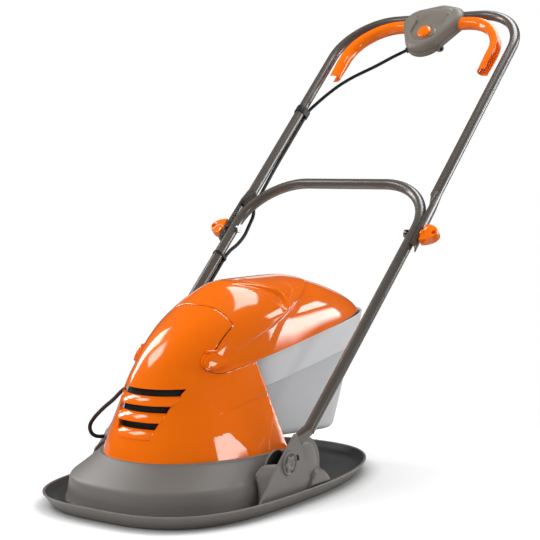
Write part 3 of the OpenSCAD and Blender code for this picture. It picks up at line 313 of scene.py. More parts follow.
def envelope_at(z):
    """Half width, front, widest place and rear of the envelope at a height."""
    crown = max(0.0, (z - SHOULDER_Z) / (CROWN_Z - SHOULDER_Z))
    nose = max(0.0, (z - NOSE_Z) / (CROWN_Z - NOSE_Z))
    half = (HOOD_HALF + (SHOULDER_HALF - HOOD_HALF) * (z - SEAT_Z) / (SHOULDER_Z - SEAT_Z)
            if z < SHOULDER_Z else SHOULDER_HALF * math.sqrt(max(0.0, 1 - crown ** 4)))
    front = -HOOD_FRONT + NOSE_SLOPE * (z - SEAT_Z) + CROWN_RUN * nose ** NOSE_POWER
    rear = LID_REAR - LID_REAR_RUN * crown ** REAR_POWER
    return half, front, max(HOOD_REAR, front + 0.45 * (rear - front)), rear


def half_ring(z, count):
    """Right half of the envelope at a height, front to rear, in even steps."""
    half, front, mid, rear = envelope_at(z)
    t = np.linspace(-math.pi / 2, math.pi / 2, 1601)
    c, s = np.abs(np.cos(t)), np.sin(t)
    c[0] = c[-1] = 0
    e = np.where(s < 0, 2.3, 3.7)
    x = half * c ** (2 / e)
    y = mid + np.where(s < 0, mid - front, rear - mid) * np.sign(s) * np.abs(s) ** (2 / e)
    run = np.concatenate([[0], np.cumsum(np.hypot(np.diff(x), np.diff(y)))])
    at = np.linspace(0, run[-1], count + 1)
    return np.stack([np.interp(at, run, x), np.interp(at, run, y), np.full(count + 1, z)], axis=1)


def envelope_grid(count=170):
    """Grid of points over the right half, its crown eased so that no ridge is left in it."""
    span = CROWN_Z - SHOULDER_Z
    levels = list(np.linspace(SEAT_Z, SHOULDER_Z, 46))
    levels += [SHOULDER_Z + span * u for u in np.arange(0.022, 0.9, 0.022)]
    levels += [SHOULDER_Z + span * math.sqrt(math.sin(math.radians(f))) for f in np.linspace(54.6, 90, 40)]
    grid = np.array([half_ring(z, count) for z in levels])
    flip = np.array([-1.0, 1, 1])
    for _ in range(110):
        wide = np.concatenate([grid[:, 1:2] * flip, grid, grid[:, -2:-1] * flip], axis=1)
        tall = np.concatenate([grid[:1], grid, grid[-2:-1] * flip], axis=0)
        mean = (wide[:, :-2] + wide[:, 2:] + tall[:-2] + tall[2:]) / 4
        grid = grid + (step01((grid[..., 2:] - 262) / 40) * 0.6) * (mean - grid)
    grid[:, 0, 0] = grid[:, -1, 0] = grid[-1, :, 0] = 0
    return grid


def envelope_mesh():
    grid = envelope_grid()
    m, n = grid.shape[:2]
    verts = np.concatenate([grid.reshape(-1, 3), grid.reshape(-1, 3) * [-1, 1, 1]])
    faces = []
    for k in range(m - 1):
        for i in range(n - 1):
            a = k * n + i
            faces.append((a, a + 1, a + 1 + n, a + n))
            b = a + m * n
            faces.append((b, b + n, b + 1 + n, b + 1))
    mesh = bpy.data.meshes.new("envelope")
    mesh.from_pydata([tuple(v) for v in verts], [], faces)
    bm = bmesh.new()
    bm.from_mesh(mesh)
    bpy.data.meshes.remove(mesh)
    bmesh.ops.remove_doubles(bm, verts=bm.verts[:], dist=0.01)
    bmesh.ops.dissolve_degenerate(bm, edges=bm.edges[:], dist=0.01)
    bmesh.ops.recalc_face_normals(bm, faces=bm.faces[:])
    return bm


def cut(bm, point, normal, where):
    """Cut the faces whose middle passes the test along a plane."""
    co, no = Vector(point), Vector(normal).normalized()
    off = co.dot(no)
    faces = []
    for f in bm.faces:
        side = [v.co.dot(no) - off for v in f.verts]
        if min(side) < -1e-4 and max(side) > 1e-4 and where(f.calc_center_median()):
            faces.append(f)
    geom = dict.fromkeys(faces)
    for f in faces:
        geom.update(dict.fromkeys(f.edges))
        geom.update(dict.fromkeys(f.verts))
    bmesh.ops.bisect_plane(bm, geom=list(geom), dist=1e-4, plane_co=co, plane_no=no)


# Side view of the lid's zone: straight planes that bound it, as point and outward direction (y, z)
lobe = []
for k in range(9):
    a = math.radians(90 - 90 * k / 8)
    y = WING_Y + LOBE_RUN * (1 - math.sin(a))
    lobe.append((y, seam_at(y) + LOBE_RISE * (1 - math.cos(a))))
side_planes = [((300.0, seam_at(300.0)), (SEAM_SLOPE, -1.0)), ((WING_Y, 260.0), (-1.0, 0.0))]
for p, q in zip(lobe[:-1], lobe[1:]):
    side_planes.append((p, (-abs(q[1] - p[1]), -abs(q[0] - p[0]))))
TONGUE_SIDE = (TONGUE_HALF - TONGUE_TAPER, TONGUE_TAPER / (TONGUE_Y - WING_Y))


def zone_distance(p):
    """Distance outside the lid's zone, negative inside it, for an array of points."""
    x, y, z = np.abs(p[:, 0]), p[:, 1], p[:, 2]
    side = np.full(len(p), -1e9)
    for (py, pz), (ny, nz) in side_planes:
        n = math.hypot(ny, nz)
        side = np.maximum(side, ((y - py) * ny + (z - pz) * nz) / n)
    flank = (x - TONGUE_SIDE[0] - TONGUE_SIDE[1] * (y - WING_Y)) / math.hypot(1, TONGUE_SIDE[1])
    slope = TONGUE_SAG / TONGUE_HALF
    end = (y - (TONGUE_Y - TONGUE_SAG) - slope * x) / math.hypot(1, slope)
    return np.maximum(side, -np.maximum(flank, end))


def edge_distance(p):
    """Height over the crown's edge, square to it."""
    return (p[:, 2] - EDGE_Z - EDGE_SLOPE * (p[:, 1] - EDGE_Y)) / math.hypot(1, EDGE_SLOPE)


def cut_seams(bm):
    gap = SEAM_GAP / 2
    for off in (-gap - 0.9, -gap, gap, gap + 0.9):
        for (py, pz), (ny, nz) in side_planes:
            n = math.hypot(ny, nz)
            ny, nz = ny / n, nz / n
            if nz == 0:
                where = lambda c: abs(c.x) > 45 and abs(c.y - WING_Y) < 8 and c.z > SEAM_Z + LOBE_RISE - 8
            elif py > 200:
                where = lambda c: c.y > WING_Y + LOBE_RUN - 12
            else:
                where = lambda c, y=py: abs(c.x) > 45 and abs(c.y - y) < 12 and c.z < SEAM_Z + 60
            cut(bm, (0, py + off * ny, pz + off * nz), (0, ny, nz), where)
        slope = TONGUE_SAG / TONGUE_HALF
        for side in (-1, 1):
            n = math.hypot(1, TONGUE_SIDE[1])
            cut(bm, (side * (TONGUE_SIDE[0] - off * n), WING_Y, 0), (side, -TONGUE_SIDE[1], 0),
                lambda c, s=side: c.x * s > 40 and WING_Y - 8 < c.y < TONGUE_Y + 6 and c.z > SEAM_Z + 6)
            n = math.hypot(1, slope)
            cut(bm, (0, TONGUE_Y - TONGUE_SAG - off * n, 0), (-side * slope, 1, 0),
                lambda c, s=side: -4 < c.x * s < TONGUE_HALF + 6 and 40 < c.y < TONGUE_Y + 12 and c.z > 240)
    for q in (0, 0.5, 1.4, 2.6):
        cut(bm, (0, HOOD_REAR - q, SEAT_Z), (0, 1, HOOD_LEAN), lambda c: 95 < c.y < 135 and c.z < 225)


def cut_details(bm):
    n = math.hypot(1, EDGE_SLOPE)
    for d in (4, 2, 0.8, -0.5, -2, -3.5, -5, -8):
        cut(bm, (0, EDGE_Y, EDGE_Z + d * n), (0, -EDGE_SLOPE, 1), lambda c: c.y > 20)
    for drop in (0, 0.8, 2, 3.2):
        cut(bm, (0, UPPER_Y, UPPER_Z - drop), (0, -UPPER_SLOPE, 1),
            lambda c: abs(c.x) > 60 and -15 < c.y < 125)
    cut(bm, (0, CREASE_Y, CREASE_Z), (0, -CREASE_SLOPE, 1), lambda c: c.y < 14)
    cut(bm, (0, CREASE_Y, CREASE_Z), (0, CREASE_FALL, 1),
        lambda c: abs(c.x) > 60 and 6 < c.y < 60 and c.z < 120)
    for k in range(3):
        z = LOUVRE_Z - k * LOUVRE_PITCH
        for h in (z, z + LOUVRE_H, z - 3, z - 6, z - 9.5):
            cut(bm, (0, 0, h), (0, 0, 1), lambda c: c.y < 10 and abs(c.x) < 80)
    cut(bm, (0, 0, LOUVRE_Z - 3 * LOUVRE_PITCH + LOUVRE_H), (0, 0, 1), lambda c: c.y < 10 and abs(c.x) < 80)
    top = LOUVRE_Z + LOUVRE_H
    for side in (-1, 1):
        for extra in (0, 1.6):
            cut(bm, (side * (LOUVRE_HALF + extra), 0, top), (side, 0, -LOUVRE_TAPER),
                lambda c, s=side: c.y < 20 and c.x * s > 5 and 95 < c.z < top + 6)


def louvre_half(z):
    return LOUVRE_HALF - LOUVRE_TAPER * (LOUVRE_Z + LOUVRE_H - z)


def worked(p, normals):
    """Points of the envelope moved to give the crown's edge, the scoops, the louvre fins and the creases."""
    x, y, z = p[:, 0], p[:, 1], p[:, 2]
    mid = np.array([envelope_at(min(h, CROWN_Z))[2] for h in z])
    inward = np.stack([-x, mid - y, np.zeros(len(p))], axis=1)
    inward /= np.maximum(1, np.linalg.norm(inward, axis=1))[:, None]
    out = p.copy()
    # the lid steps in under the crown's edge and comes back out at the seam
    d = edge_distance(p)
    seam = seam_at(y)
    depth = TUCK_LEAST + (TUCK - TUCK_LEAST) * np.clip((y - EDGE_Y) / TUCK_RUN, 0, 1)
    fall = np.clip((z - seam) / np.maximum(1, EDGE_Z + EDGE_SLOPE * (y - EDGE_Y) - seam), 0, 1)
    tuck = depth * step01((1.0 - d) / 6.0) * fall * step01((y - 35) / 40)
    out += inward * tuck[:, None]
    # finger scoops
    tail, head = np.array([27.0, 131.0]), np.array([73.0, 197.0])
    run = head - tail
    s = ((np.abs(x) - tail[0]) * run[0] + (y - tail[1]) * run[1]) / run.dot(run)
    across = np.abs((np.abs(x) - tail[0]) * run[1] - (y - tail[1]) * run[0]) / math.hypot(*run)
    width = 4 + 11 * np.clip(s, 0, 1)
    over = np.maximum(0, s - 1) * math.hypot(*run)
    reach = np.hypot(across, over * 1.3) / width
    scoop = (1.2 + 4.6 * np.clip(s, 0, 1)) * step01((1.0 - reach) / 0.55) * step01((s + 0.12) / 0.3)
    scoop *= (z > 270)
    out -= normals * scoop[:, None]
    # fins between the louvres lean back, and so face upwards
    for k in range(3):
        low, high = LOUVRE_Z - (k + 1) * LOUVRE_PITCH + LOUVRE_H, LOUVRE_Z - k * LOUVRE_PITCH
        v = (z - low) / (high - low)
        fin = (y < 20) & (v > -1e-4) & (v < 1 + 1e-4) & (np.abs(x) < louvre_half(z) + 0.05)
        out += inward * np.where(fin, 8.0 * np.clip(v, 0, 1) ** 2 - 1.8, 0)[:, None]
    # the flank swells to a crease, and its skirt stands steeper below
    past = y - CREASE_Y
    below = np.minimum(CREASE_Z + CREASE_SLOPE * past, CREASE_Z - CREASE_FALL * past) - z
    swell = np.where(below > 0, 1 - np.clip(below / 37.0, 0, 1), 1 - step01(-below / 60.0))
    out -= inward * (3.2 * swell * (1 - step01((y - 30) / 40.0)))[:, None]
    # the flank below the upper crease stands in, most at the rear edge
    over = UPPER_Z + UPPER_SLOPE * (y - UPPER_Y) - z
    step = 1.6 * step01(over / 3.0) * (1 - step01((over - 3) / 60.0)) * step01((y + 20) / 110.0)
    out += inward * (step * (y < 125) * (z < 190))[:, None]
    return out


def shell(bm, faces, name):
    """The chosen faces as a moulding of even wall, in the frame."""
    other = bmesh.new()
    lookup = {}
    for f in faces:
        ring_verts = []
        for v in f.verts:
            if v not in lookup:
                lookup[v] = other.verts.new(v.co)
            ring_verts.append(lookup[v])
        try:
            other.faces.new(ring_verts)
        except ValueError:
            continue
    bmesh.ops.recalc_face_normals(other, faces=other.faces[:])
    bmesh.ops.solidify(other, geom=other.faces[:], thickness=HOOD_WALL)
    bmesh.ops.recalc_face_normals(other, faces=other.faces[:])
    for v in other.verts:
        v.co = placed(v.co)
    obj = object_from(other, name)
    smooth(obj, 38)
    return obj


bm = envelope_mesh()
cut_seams(bm)
cut_details(bm)
bm.normal_update()
points = np.array([tuple(v.co) for v in bm.verts])
normals = np.array([tuple(v.normal) for v in bm.verts])
faces = list(bm.faces)
middles = np.array([tuple(f.calc_center_median()) for f in faces])
zone = zone_distance(middles)
height = middles[:, 2]
slot_k = np.floor((LOUVRE_Z + LOUVRE_H - height) / LOUVRE_PITCH)
in_slot = ((middles[:, 1] < 20) & (slot_k >= 0) & (slot_k < 3)
           & (LOUVRE_Z + LOUVRE_H - height - slot_k * LOUVRE_PITCH < LOUVRE_H)
           & (np.abs(middles[:, 0]) < louvre_half(height)))
is_lid = zone < -SEAM_GAP / 2
is_hood = (zone > SEAM_GAP / 2) & (middles[:, 1] < hood_rear_at(height)) & ~in_slot
moved = worked(points, normals)
near = np.abs(np.abs(zone_distance(points)) - SEAM_GAP / 2) < 0.05
moved -= normals * np.where(near, 0.55, 0)[:, None]
back = hood_rear_at(points[:, 2]) - points[:, 1]
roll = np.where((back > -0.05) & (back < 2.6) & (zone_distance(points) > 0),
                2.6 - np.sqrt(np.maximum(0, 2.6 ** 2 - (2.6 - back) ** 2)), 0)
moved -= normals * np.clip(roll, 0, 2.0)[:, None]
for v, q in zip(bm.verts, moved):
    v.co = q
hood = shell(bm, [f for f, keep in zip(faces, is_hood) if keep], "hood_moulding")
lid = shell(bm, [f for f, keep in zip(faces, is_lid) if keep], "lid_moulding")
bm.free()
stands_for(hood, "hood")


def intake_sheet():
    """Woven sheet behind the louvres, set well inside the hood."""
    rows, columns = 34, 60
    top, low = LOUVRE_Z + LOUVRE_H + 4, LOUVRE_Z - 2 * LOUVRE_PITCH - 4
    verts, faces = [], []
    for r in range(rows + 1):
        z = low + (top - low) * r / rows
        line = half_ring(z, 400)
        half = louvre_half(z) + 1.0
        for c in range(-columns, columns + 1):
            x = half * c / columns
            near = np.interp(abs(x), line[:200, 0], line[:200, 1])
            verts.append(placed((x * 0.97, near + 9.0 + 0.35 * ((r + c) % 2), z)))
    wide = 2 * columns + 1
    for r in range(rows):
        for c in range(wide - 1):
            a = r * wide + c
            faces.append((a, a + 1, a + 1 + wide, a + wide))
    obj = new_object("intake_weave", verts, faces)
    thick = obj.modifiers.new("thickness", "SOLIDIFY")
    thick.thickness = 1.0 * MM
    return obj


stands_for(intake_sheet(), "intake_mesh")

# Hinge knuckles and their webs behind the lid
BOX_REAR, KNUCKLE_R, KNUCKLE_AT, KNUCKLE_W = 470.0, 4.5, 24.0, 14.0
HINGE_Y = BOX_REAR + KNUCKLE_R + 0.5
HINGE_Z = seam_at(HINGE_Y) - 3.0


def barrel(bm, x0, x1, web):
    """Round knuckle along X with a web that runs forwards from it."""
    outline = [(KNUCKLE_R * math.cos(math.radians(a)), KNUCKLE_R * math.sin(math.radians(a)))
               for a in range(90, -211, -15)]
    outline = web + outline
    ends = []
    for x in (x0, x1):
        ends.append([bm.verts.new(placed((x, HINGE_Y + y, HINGE_Z + z))) for y, z in outline])
    n = len(outline)
    bm.faces.new(ends[0])
    bm.faces.new(ends[1][::-1])
    for i in range(n):
        j = (i + 1) % n
        bm.faces.new([ends[0][j], ends[0][i], ends[1][i], ends[1][j]])


def add_to(obj, build):
    bm = bmesh.new()
    bm.from_mesh(obj.data)
    start = len(bm.faces)
    build(bm)
    bm.faces.ensure_lookup_table()
    bmesh.ops.recalc_face_normals(bm, faces=bm.faces[start:])
    bm.to_mesh(obj.data)
    bm.free()
    smooth(obj, 38)


def lid_knuckles(bm):
    for side in (-1, 1):
        barrel(bm, side * KNUCKLE_AT - KNUCKLE_W / 2, side * KNUCKLE_AT + KNUCKLE_W / 2,
               [(-3.6, 3.5), (-19, 3.5), (-19, 12.5)])


add_to(lid, lid_knuckles)
stands_for(lid, "lid")

# Deck: rim, tray, stepped dome and seat in one moulding, and its underside
DOME_HALF, DOME_FRONT, DOME_REAR, RIM_HALF, RIM_REAR, RIM_WIDEST = 155.0, 150.0, 168.0, 190.0, 434.0, 80.0
RIM_H, RIM_FLARE, TRAY_Z, LEDGE_Z, DECK_WALL, CORE_R = 22.0, 15.0, 9.0, 45.0, 3.0, 42.0
DECK_POINTS = 288


def rim_ring(inset, z):
    return ring(RIM_HALF - inset, inset - RIM_FRONT, RIM_WIDEST, RIM_REAR - inset, 3, 2.5, z, DECK_POINTS)


def dome_ring(inset, z):
    return ring(DOME_HALF - inset, inset - DOME_FRONT, 0, DOME_REAR - inset, 2.1, 5, z, DECK_POINTS)


def seat_ring(inset, z):
    rear = HOOD_REAR + 12 - inset
    return ring(HOOD_HALF - inset, inset - HOOD_FRONT, HOOD_REAR, rear, 2.3, 6, z, DECK_POINTS)


def round_ring(r, z):
    return ring(r, -r, 0, r, 2, 2, z, DECK_POINTS)


deck_rings = [
    (rim_ring(RIM_FLARE, 0), 1.2), (rim_ring(1.2, RIM_H - 3.4), 0.8), (rim_ring(0, RIM_H - 2.4), 0.8),
    (rim_ring(0, RIM_H), 1.4), (rim_ring(3, RIM_H), 1.4), (rim_ring(4.2, RIM_H - 1.5), 1.5),
    (rim_ring(RIM_FLARE + 1, TRAY_Z), 7), (dome_ring(-4.5, TRAY_Z), 5), (dome_ring(1, LEDGE_Z), 6),
    (seat_ring(-3, SEAT_Z - 2), 9), (seat_ring(-2.2, SEAT_Z), 1.0), (round_ring(CORE_R, SEAT_Z), 0),
    (round_ring(CORE_R, SEAT_Z - DECK_WALL), 0), (seat_ring(4, SEAT_Z - DECK_WALL), 6),
    (dome_ring(DECK_WALL + 3, LEDGE_Z - DECK_WALL), 4), (dome_ring(DECK_WALL - 4.5, TRAY_Z - DECK_WALL), 3),
    (rim_ring(RIM_FLARE + DECK_WALL, TRAY_Z - DECK_WALL), 1), (rim_ring(RIM_FLARE + DECK_WALL, 0), 0.8),
]
deck = skin("deck_moulding", filleted([r for r, _ in deck_rings], [f for _, f in deck_rings]))
smooth(deck, 30)
stands_for(deck, "deck")

# Grass box: tub with a band round its top, an inner skin and the hinge barrel
BOX_HALF, BOX_FLOOR_HALF, BOX_FLOOR_REAR, BAND_H, BAND_STEP, BOX_WALL = 89.0, 66.0, 400.0, 50.0, 7.0, 2.5
BOX_FRONT_TOP = hood_rear_at(seam_at(HOOD_REAR)) + 2.5
BOX_FRONT_LOW = hood_rear_at(SEAT_Z) + 2.5
BOX_BAND_REAR = BOX_REAR - 18
BOX_FLOOR_Z = SEAT_Z + 0.3
BOX_POINTS = 240


def box_ring(a, yf, yr, z, slope, y0):
    r = ring(a, yf, (yf + yr) / 2, yr, 7, 4.5, z, BOX_POINTS)
    r[:, 2] += slope * (r[:, 1] - y0)
    return r


def box_rings(inset):
    floor = (-0.075, HOOD_REAR + 16)
    seam = (SEAM_SLOPE, WING_Y)
    return [
        (box_ring(BOX_FLOOR_HALF - 6 - inset, BOX_FRONT_LOW + 6 + inset, BOX_FLOOR_REAR - 6 - inset,
                  BOX_FLOOR_Z + inset, *floor), 5),
        (box_ring(BOX_FLOOR_HALF - inset, BOX_FRONT_LOW + inset, BOX_FLOOR_REAR - inset,
                  BOX_FLOOR_Z + 7 + inset, *floor), 6),
        (box_ring(BOX_HALF - 2 - BAND_STEP - inset, BOX_FRONT_TOP + 3 + inset,
                  BOX_BAND_REAR - BAND_STEP - inset, SEAM_Z - BAND_H - 2.5, *seam), 2.5),
        (box_ring(BOX_HALF - 2 - inset, BOX_FRONT_TOP + 2 + inset, BOX_BAND_REAR - inset,
                  SEAM_Z - BAND_H, *seam), 1.6),
        (box_ring(BOX_HALF - inset, BOX_FRONT_TOP + inset, BOX_REAR - inset,
                  SEAM_Z - SEAM_GAP, *seam), 0.7),
    ]


def box_skin():
    both = box_rings(0) + box_rings(BOX_WALL)[::-1]
    rings = filleted([r for r, _ in both], [f for _, f in both])
    n, m = BOX_POINTS, len(rings)
    verts = [placed(p) for r in rings for p in r]
    caps = [tuple(range(n - 1, -1, -1)), tuple((m - 1) * n + i for i in range(n))]
    return new_object("grass_box_tub", verts, caps + bands(m, n))


def box_barrel(bm):
    barrel(bm, -16.5, 16.5, [(0, 0.2), (-6, 0.2), (-6, -4.5), (-3.9, -4.5)])


tub = box_skin()
add_to(tub, box_barrel)
stands_for(tub, "grass_box")

# Painted shade, as a second and darker material: its name and the faces that have it, here the tray's rows,
# dark as the shade in the tray's recess, and the tub's caps and lower rows, darker as the shade under the
# band
TRAY_FROM, TRAY_TO, LOW_ROWS = 31, 45, 17
painted_shade_faces = {
    "deck": ("tray_painted_shade", range(TRAY_FROM * DECK_POINTS, TRAY_TO * DECK_POINTS)),
    # the tub below the band is painted darker, as the shade under the band
    "grass_box": ("box_painted_shade", range(2 + LOW_ROWS * BOX_POINTS)),
}


def rounded(obj, width, angle=32, segments=3):
    """Round off the edges of a mesh that turn by more than the angle."""
    obj.data.shade_smooth()
    bevel = obj.modifiers.new("rounding", "BEVEL")
    bevel.width = width * MM
    bevel.segments = segments
    bevel.limit_method = "ANGLE"
    bevel.angle_limit = math.radians(angle)
    bevel.harden_normals = True
    return bevel


def softened(node, width):
    """A copy of a solid's faces with its edges rounded off."""
    obj, bm = copy_of(node, node + "_rounded")
    bmesh.ops.dissolve_limit(bm, angle_limit=math.radians(2), verts=bm.verts[:], edges=bm.edges[:])
    bm.to_mesh(obj.data)
    bm.free()
    rounded(obj, width)
    stands_for(obj, node)


for name, width in (("knob_left", 1.5), ("knob_right", 1.5), ("catch_left", 0.9), ("catch_right", 0.9),
                    ("lead_clip", 0.6), ("lead_tie", 0.5), ("mains_gland", 0.5), ("lead_gland", 0.5)):
    softened(name, width)
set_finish(pieces["mains_gland"], "switch_grey")

# Brackets: outer wall, arched inner wall with a thin dark sheet in its arch that paints the shade of the
# pocket, front strip, rear housing, inner disc and foot
BRACKET_X = 178.5
OUTER_WALL = [(21, 42), (17.5, 41.5), (0, 26.5), (-21.5, 6.5), (-40.5, -11), (-60, -33.5), (-75.5, -51),
              (66, -51), (33.5, 22.5), (24, 41)]
SLOT = [(19.5, 0), (28, 0), (28, 5), (25.5, 9.5), (19.5, 9.5)]
ARCH = [(-38.5, 2.5), (-36, 8), (-32, 12.5), (-26, 17), (-18, 20.5), (-9, 21.5), (-2, 20), (4, 16), (8, 11)]
FRONT = [(-38.5, 2.5), (-50, -0.5), (-58.5, -5), (-62, -9.5), (-60.5, -15.5), (-57, -22), (-55, -30),
         (-54, -39.5), (-54, -50), (-54, -58.5)]
HOUSING = [(90.5, -58.5), (91, -40), (90.5, -24), (89.5, -12), (87, -1), (82.5, 8.5), (76, 17), (67.5, 23),
           (58, 25.5), (49, 26), (42, 24), (36, 20), (30, 12), (30, -58.5)]
HOUSING_DEPTH = [(2.2, -4.5), (2.0, -10.5), (0.4, -11), (0, -10), (0.5, -8.3), (2.2, -6.3), (5, -4.8),
                 (9.5, -3.6), (15, -2.9), (22, -2.5)]
BY_LEG = -4.2
FOOT = [(40, -58.5), (36, -52), (31, -44), (25, -35), (17, -27.5), (10, -23), (4, -21), (0.5, -20.6)]


def bracket_point(side, x, y, z):
    return placed((side * (BRACKET_X + x), PIVOT_Y + y, PIVOT_Z + z))


def plate(bm, side, x0, x1, loops):
    """Flat wall between two distances across, with any holes after the outline."""
    ends = []
    for x in (x0, x1):
        rows = [[bm.verts.new(bracket_point(side, x, y, z)) for y, z in loop] for loop in loops]
        edges = [bm.edges.new((r[i], r[(i + 1) % len(r)])) for r in rows for i in range(len(r))]
        bmesh.ops.triangle_fill(bm, edges=edges, use_beauty=True)
        ends.append(rows)
    for a, b in zip(*ends):
        for i in range(len(a)):
            j = (i + 1) % len(a)
            bm.faces.new((a[i], a[j], b[j], b[i]))


def stack(bm, side, rings):
    """Solid over closed rings of points, capped at both ends."""
    rows = [[bm.verts.new(bracket_point(side, *p)) for p in r] for r in rings]
    for a, b in zip(rows, rows[1:]):
        for i in range(len(a)):
            j = (i + 1) % len(a)
            bm.faces.new((a[i], a[j], b[j], b[i]))
    bm.faces.new(rows[0])
    bm.faces.new(rows[-1])


def housing_rings():
    outline = np.array(HOUSING, float)
    way = np.gradient(outline[:-1], axis=0)
    out = np.stack([way[:, 1], -way[:, 0]], axis=1)
    out /= np.linalg.norm(out, axis=1)[:, None]
    rings = []
    for inset, x in HOUSING_DEPTH:
        row = []
        for (y, z), n in zip(outline[:-1], out):
            deep = max(x, BY_LEG) if y < 50 else x
            row.append((deep, y - inset * max(n[0], 0), z - inset * 0.3 * max(n[1], 0)))
        row.append((max(x, BY_LEG),) + HOUSING[-1])
        rings.append(row)
    return rings


def bracket(side, node):
    bm = bmesh.new()
    plate(bm, side, -4, 0, [OUTER_WALL, SLOT])
    plate(bm, side, -18, -15.4, [FRONT[::-1] + ARCH[1:] + [(20, -10), (20, -58.5)]])
    disc = [(62 + 45 * math.cos(math.radians(a)), -15.5 + 45 * math.sin(math.radians(a)))
            for a in range(0, 171, 9)]
    plate(bm, side, -18, -14.5, [[(107, -58.5)] + disc + [(17, -58.5)]])
    strip = []
    for y, z in FRONT[:-1]:
        edge = np.interp(z, [-51, -33.5, -11, 6.5], [-75.5, -60, -40.5, -21.5]) + 1.5
        strip.append([(-16, y, z), (-3, edge, z), (-3, edge + 3, z), (-16, y + 3.5, z)])
    stack(bm, side, strip)
    stack(bm, side, housing_rings())
    turns = [math.radians(a) for a in range(0, 360, 12)]
    foot = []
    for r, z in FOOT:
        rim_side = np.interp(z, [-58.5, -46.5], [-7, 5.0])
        foot.append([(min(-9 + r * math.cos(t), rim_side), 82 + r * math.sin(t), z) for t in turns])
    stack(bm, side, foot)
    plate(bm, side, -18, -3, [[(-58, -58.5), (98, -58.5), (98, -49), (-52, -49)]])
    # a thin sheet of black plastic inside the arch: painted shade in the bracket's pocket
    start = len(bm.faces)
    plate(bm, side, -15.6, -15.0, [[(-40, -2), (-35.5, 6), (-31, 11), (-25, 15.3), (-17.5, 18.7), (-9, 19.7),
                                    (-2.5, 18.2), (3, 14.5), (8, 6), (8, -30), (-30, -30)]])
    bm.faces.ensure_lookup_table()
    for f in bm.faces[start:]:
        f.material_index = 1
    bmesh.ops.recalc_face_normals(bm, faces=bm.faces[:])
    obj = object_from(bm, node + "_moulding")
    rounded(obj, 1.3)
    painted_shade_faces[node] = ("black_plastic", [p.index for p in obj.data.polygons if p.material_index == 1])
    stands_for(obj, node)


# Pivot bolts: shank, raised ring and a lobed head sunk in it
BOLT = [(0.05, -18, 0), (4, -18, 0), (4, 0, 0), (18.3, 0, 0), (18.3, 2.3, 0), (17.7, 3.2, 0), (16.8, 3.4, 0),
        (15.9, 3.0, 0), (15.0, 1.4, 0.3), (14.2, 0.7, 0.8), (12.6, 0.7, 1), (11.8, 2.6, 1), (11.0, 3.6, 1),
        (9.6, 4.1, 1), (6.5, 3.8, 0.8), (5.0, 2.6, 0.2), (3.2, 2.4, 0), (0.05, 2.4, 0)]


def pivot_bolt(side, node):
    bm = bmesh.new()
    turns = [math.radians(a) for a in range(0, 360, 5)]
    stack(bm, side, [[(x, r * (1 + 0.15 * lobed * math.cos(6 * t)) * math.cos(t),
                       r * (1 + 0.15 * lobed * math.cos(6 * t)) * math.sin(t)) for t in turns]
                     for r, x, lobed in BOLT])
    bmesh.ops.recalc_face_normals(bm, faces=bm.faces[:])
    obj = object_from(bm, node + "_turned")
    smooth(obj, 50)
    stands_for(obj, node)


for side, end in ((1, "right"), (-1, "left")):
    bracket(side, "bracket_" + end)
    pivot_bolt(side, "pivot_bolt_" + end)


# Lower handle: a copy whose legs stay round further down, and whose pressed ends are narrower
def lower_handle():
    obj, bm = copy_of("lower_handle", "lower_handle_tube")
    mesh = obj.data
    lean = math.radians(LEAN_LOW)
    there, back = obj.matrix_world, obj.matrix_world.inverted()
    for v in bm.verts:
        p = there @ v.co
        x, y, z = p.x / MM, p.y / MM + MID_Y - PIVOT_Y, p.z / MM - PIVOT_Z
        along, across = y * math.sin(lean) + z * math.cos(lean), y * math.cos(lean) - z * math.sin(lean)
        if abs(x) < 150 or along > 85:
            continue
        if along < 60:
            across *= 0.84
        if along > 50:
            along -= 12
        v.co = back @ Vector(placed(on_lower((x, across, along))))
    bm.to_mesh(mesh)
    bm.free()
    if "custom_normal" in mesh.attributes:
        mesh.attributes.remove(mesh.attributes["custom_normal"])
    smooth(obj, 32)
    stands_for(obj, "lower_handle")


lower_handle()

# Switch box: a domed shell in front and one behind, a sunk panel under a brow, and the oval button
SWITCH_LOBES = ((-30.0, BAR - 18, 36.0), (32.0, BAR - 15, 34.0), (-1.0, BAR - 69, 39.0), (8.0, BAR - 8, 35.0))
SWITCH_EDGE, SWITCH_ROUND = 7.0, 14.0
BUTTON_S = BAR - 62


def switch_outline(inset, count=200):
    """Outline of the box in the plane of the handle, moved in by a distance, in even steps."""
    t = np.radians(np.arange(0, 360, 0.5) - 90)
    n = np.stack([np.cos(t), np.sin(t)], axis=1)
    lobes = np.array([p[:2] for p in SWITCH_LOBES])
    radii = np.array([p[2] for p in SWITCH_LOBES]) - inset
    best = np.argmax(n @ lobes.T + radii, axis=1)
    p = lobes[best] + radii[best][:, None] * n
    p = np.vstack([p, p[:1]])
    run = np.concatenate([[0], np.cumsum(np.linalg.norm(np.diff(p, axis=0), axis=1))])
    at = np.linspace(0, run[-1], count, endpoint=False)
    return np.stack([np.interp(at, run, p[:, 0]), np.interp(at, run, p[:, 1])], axis=1)


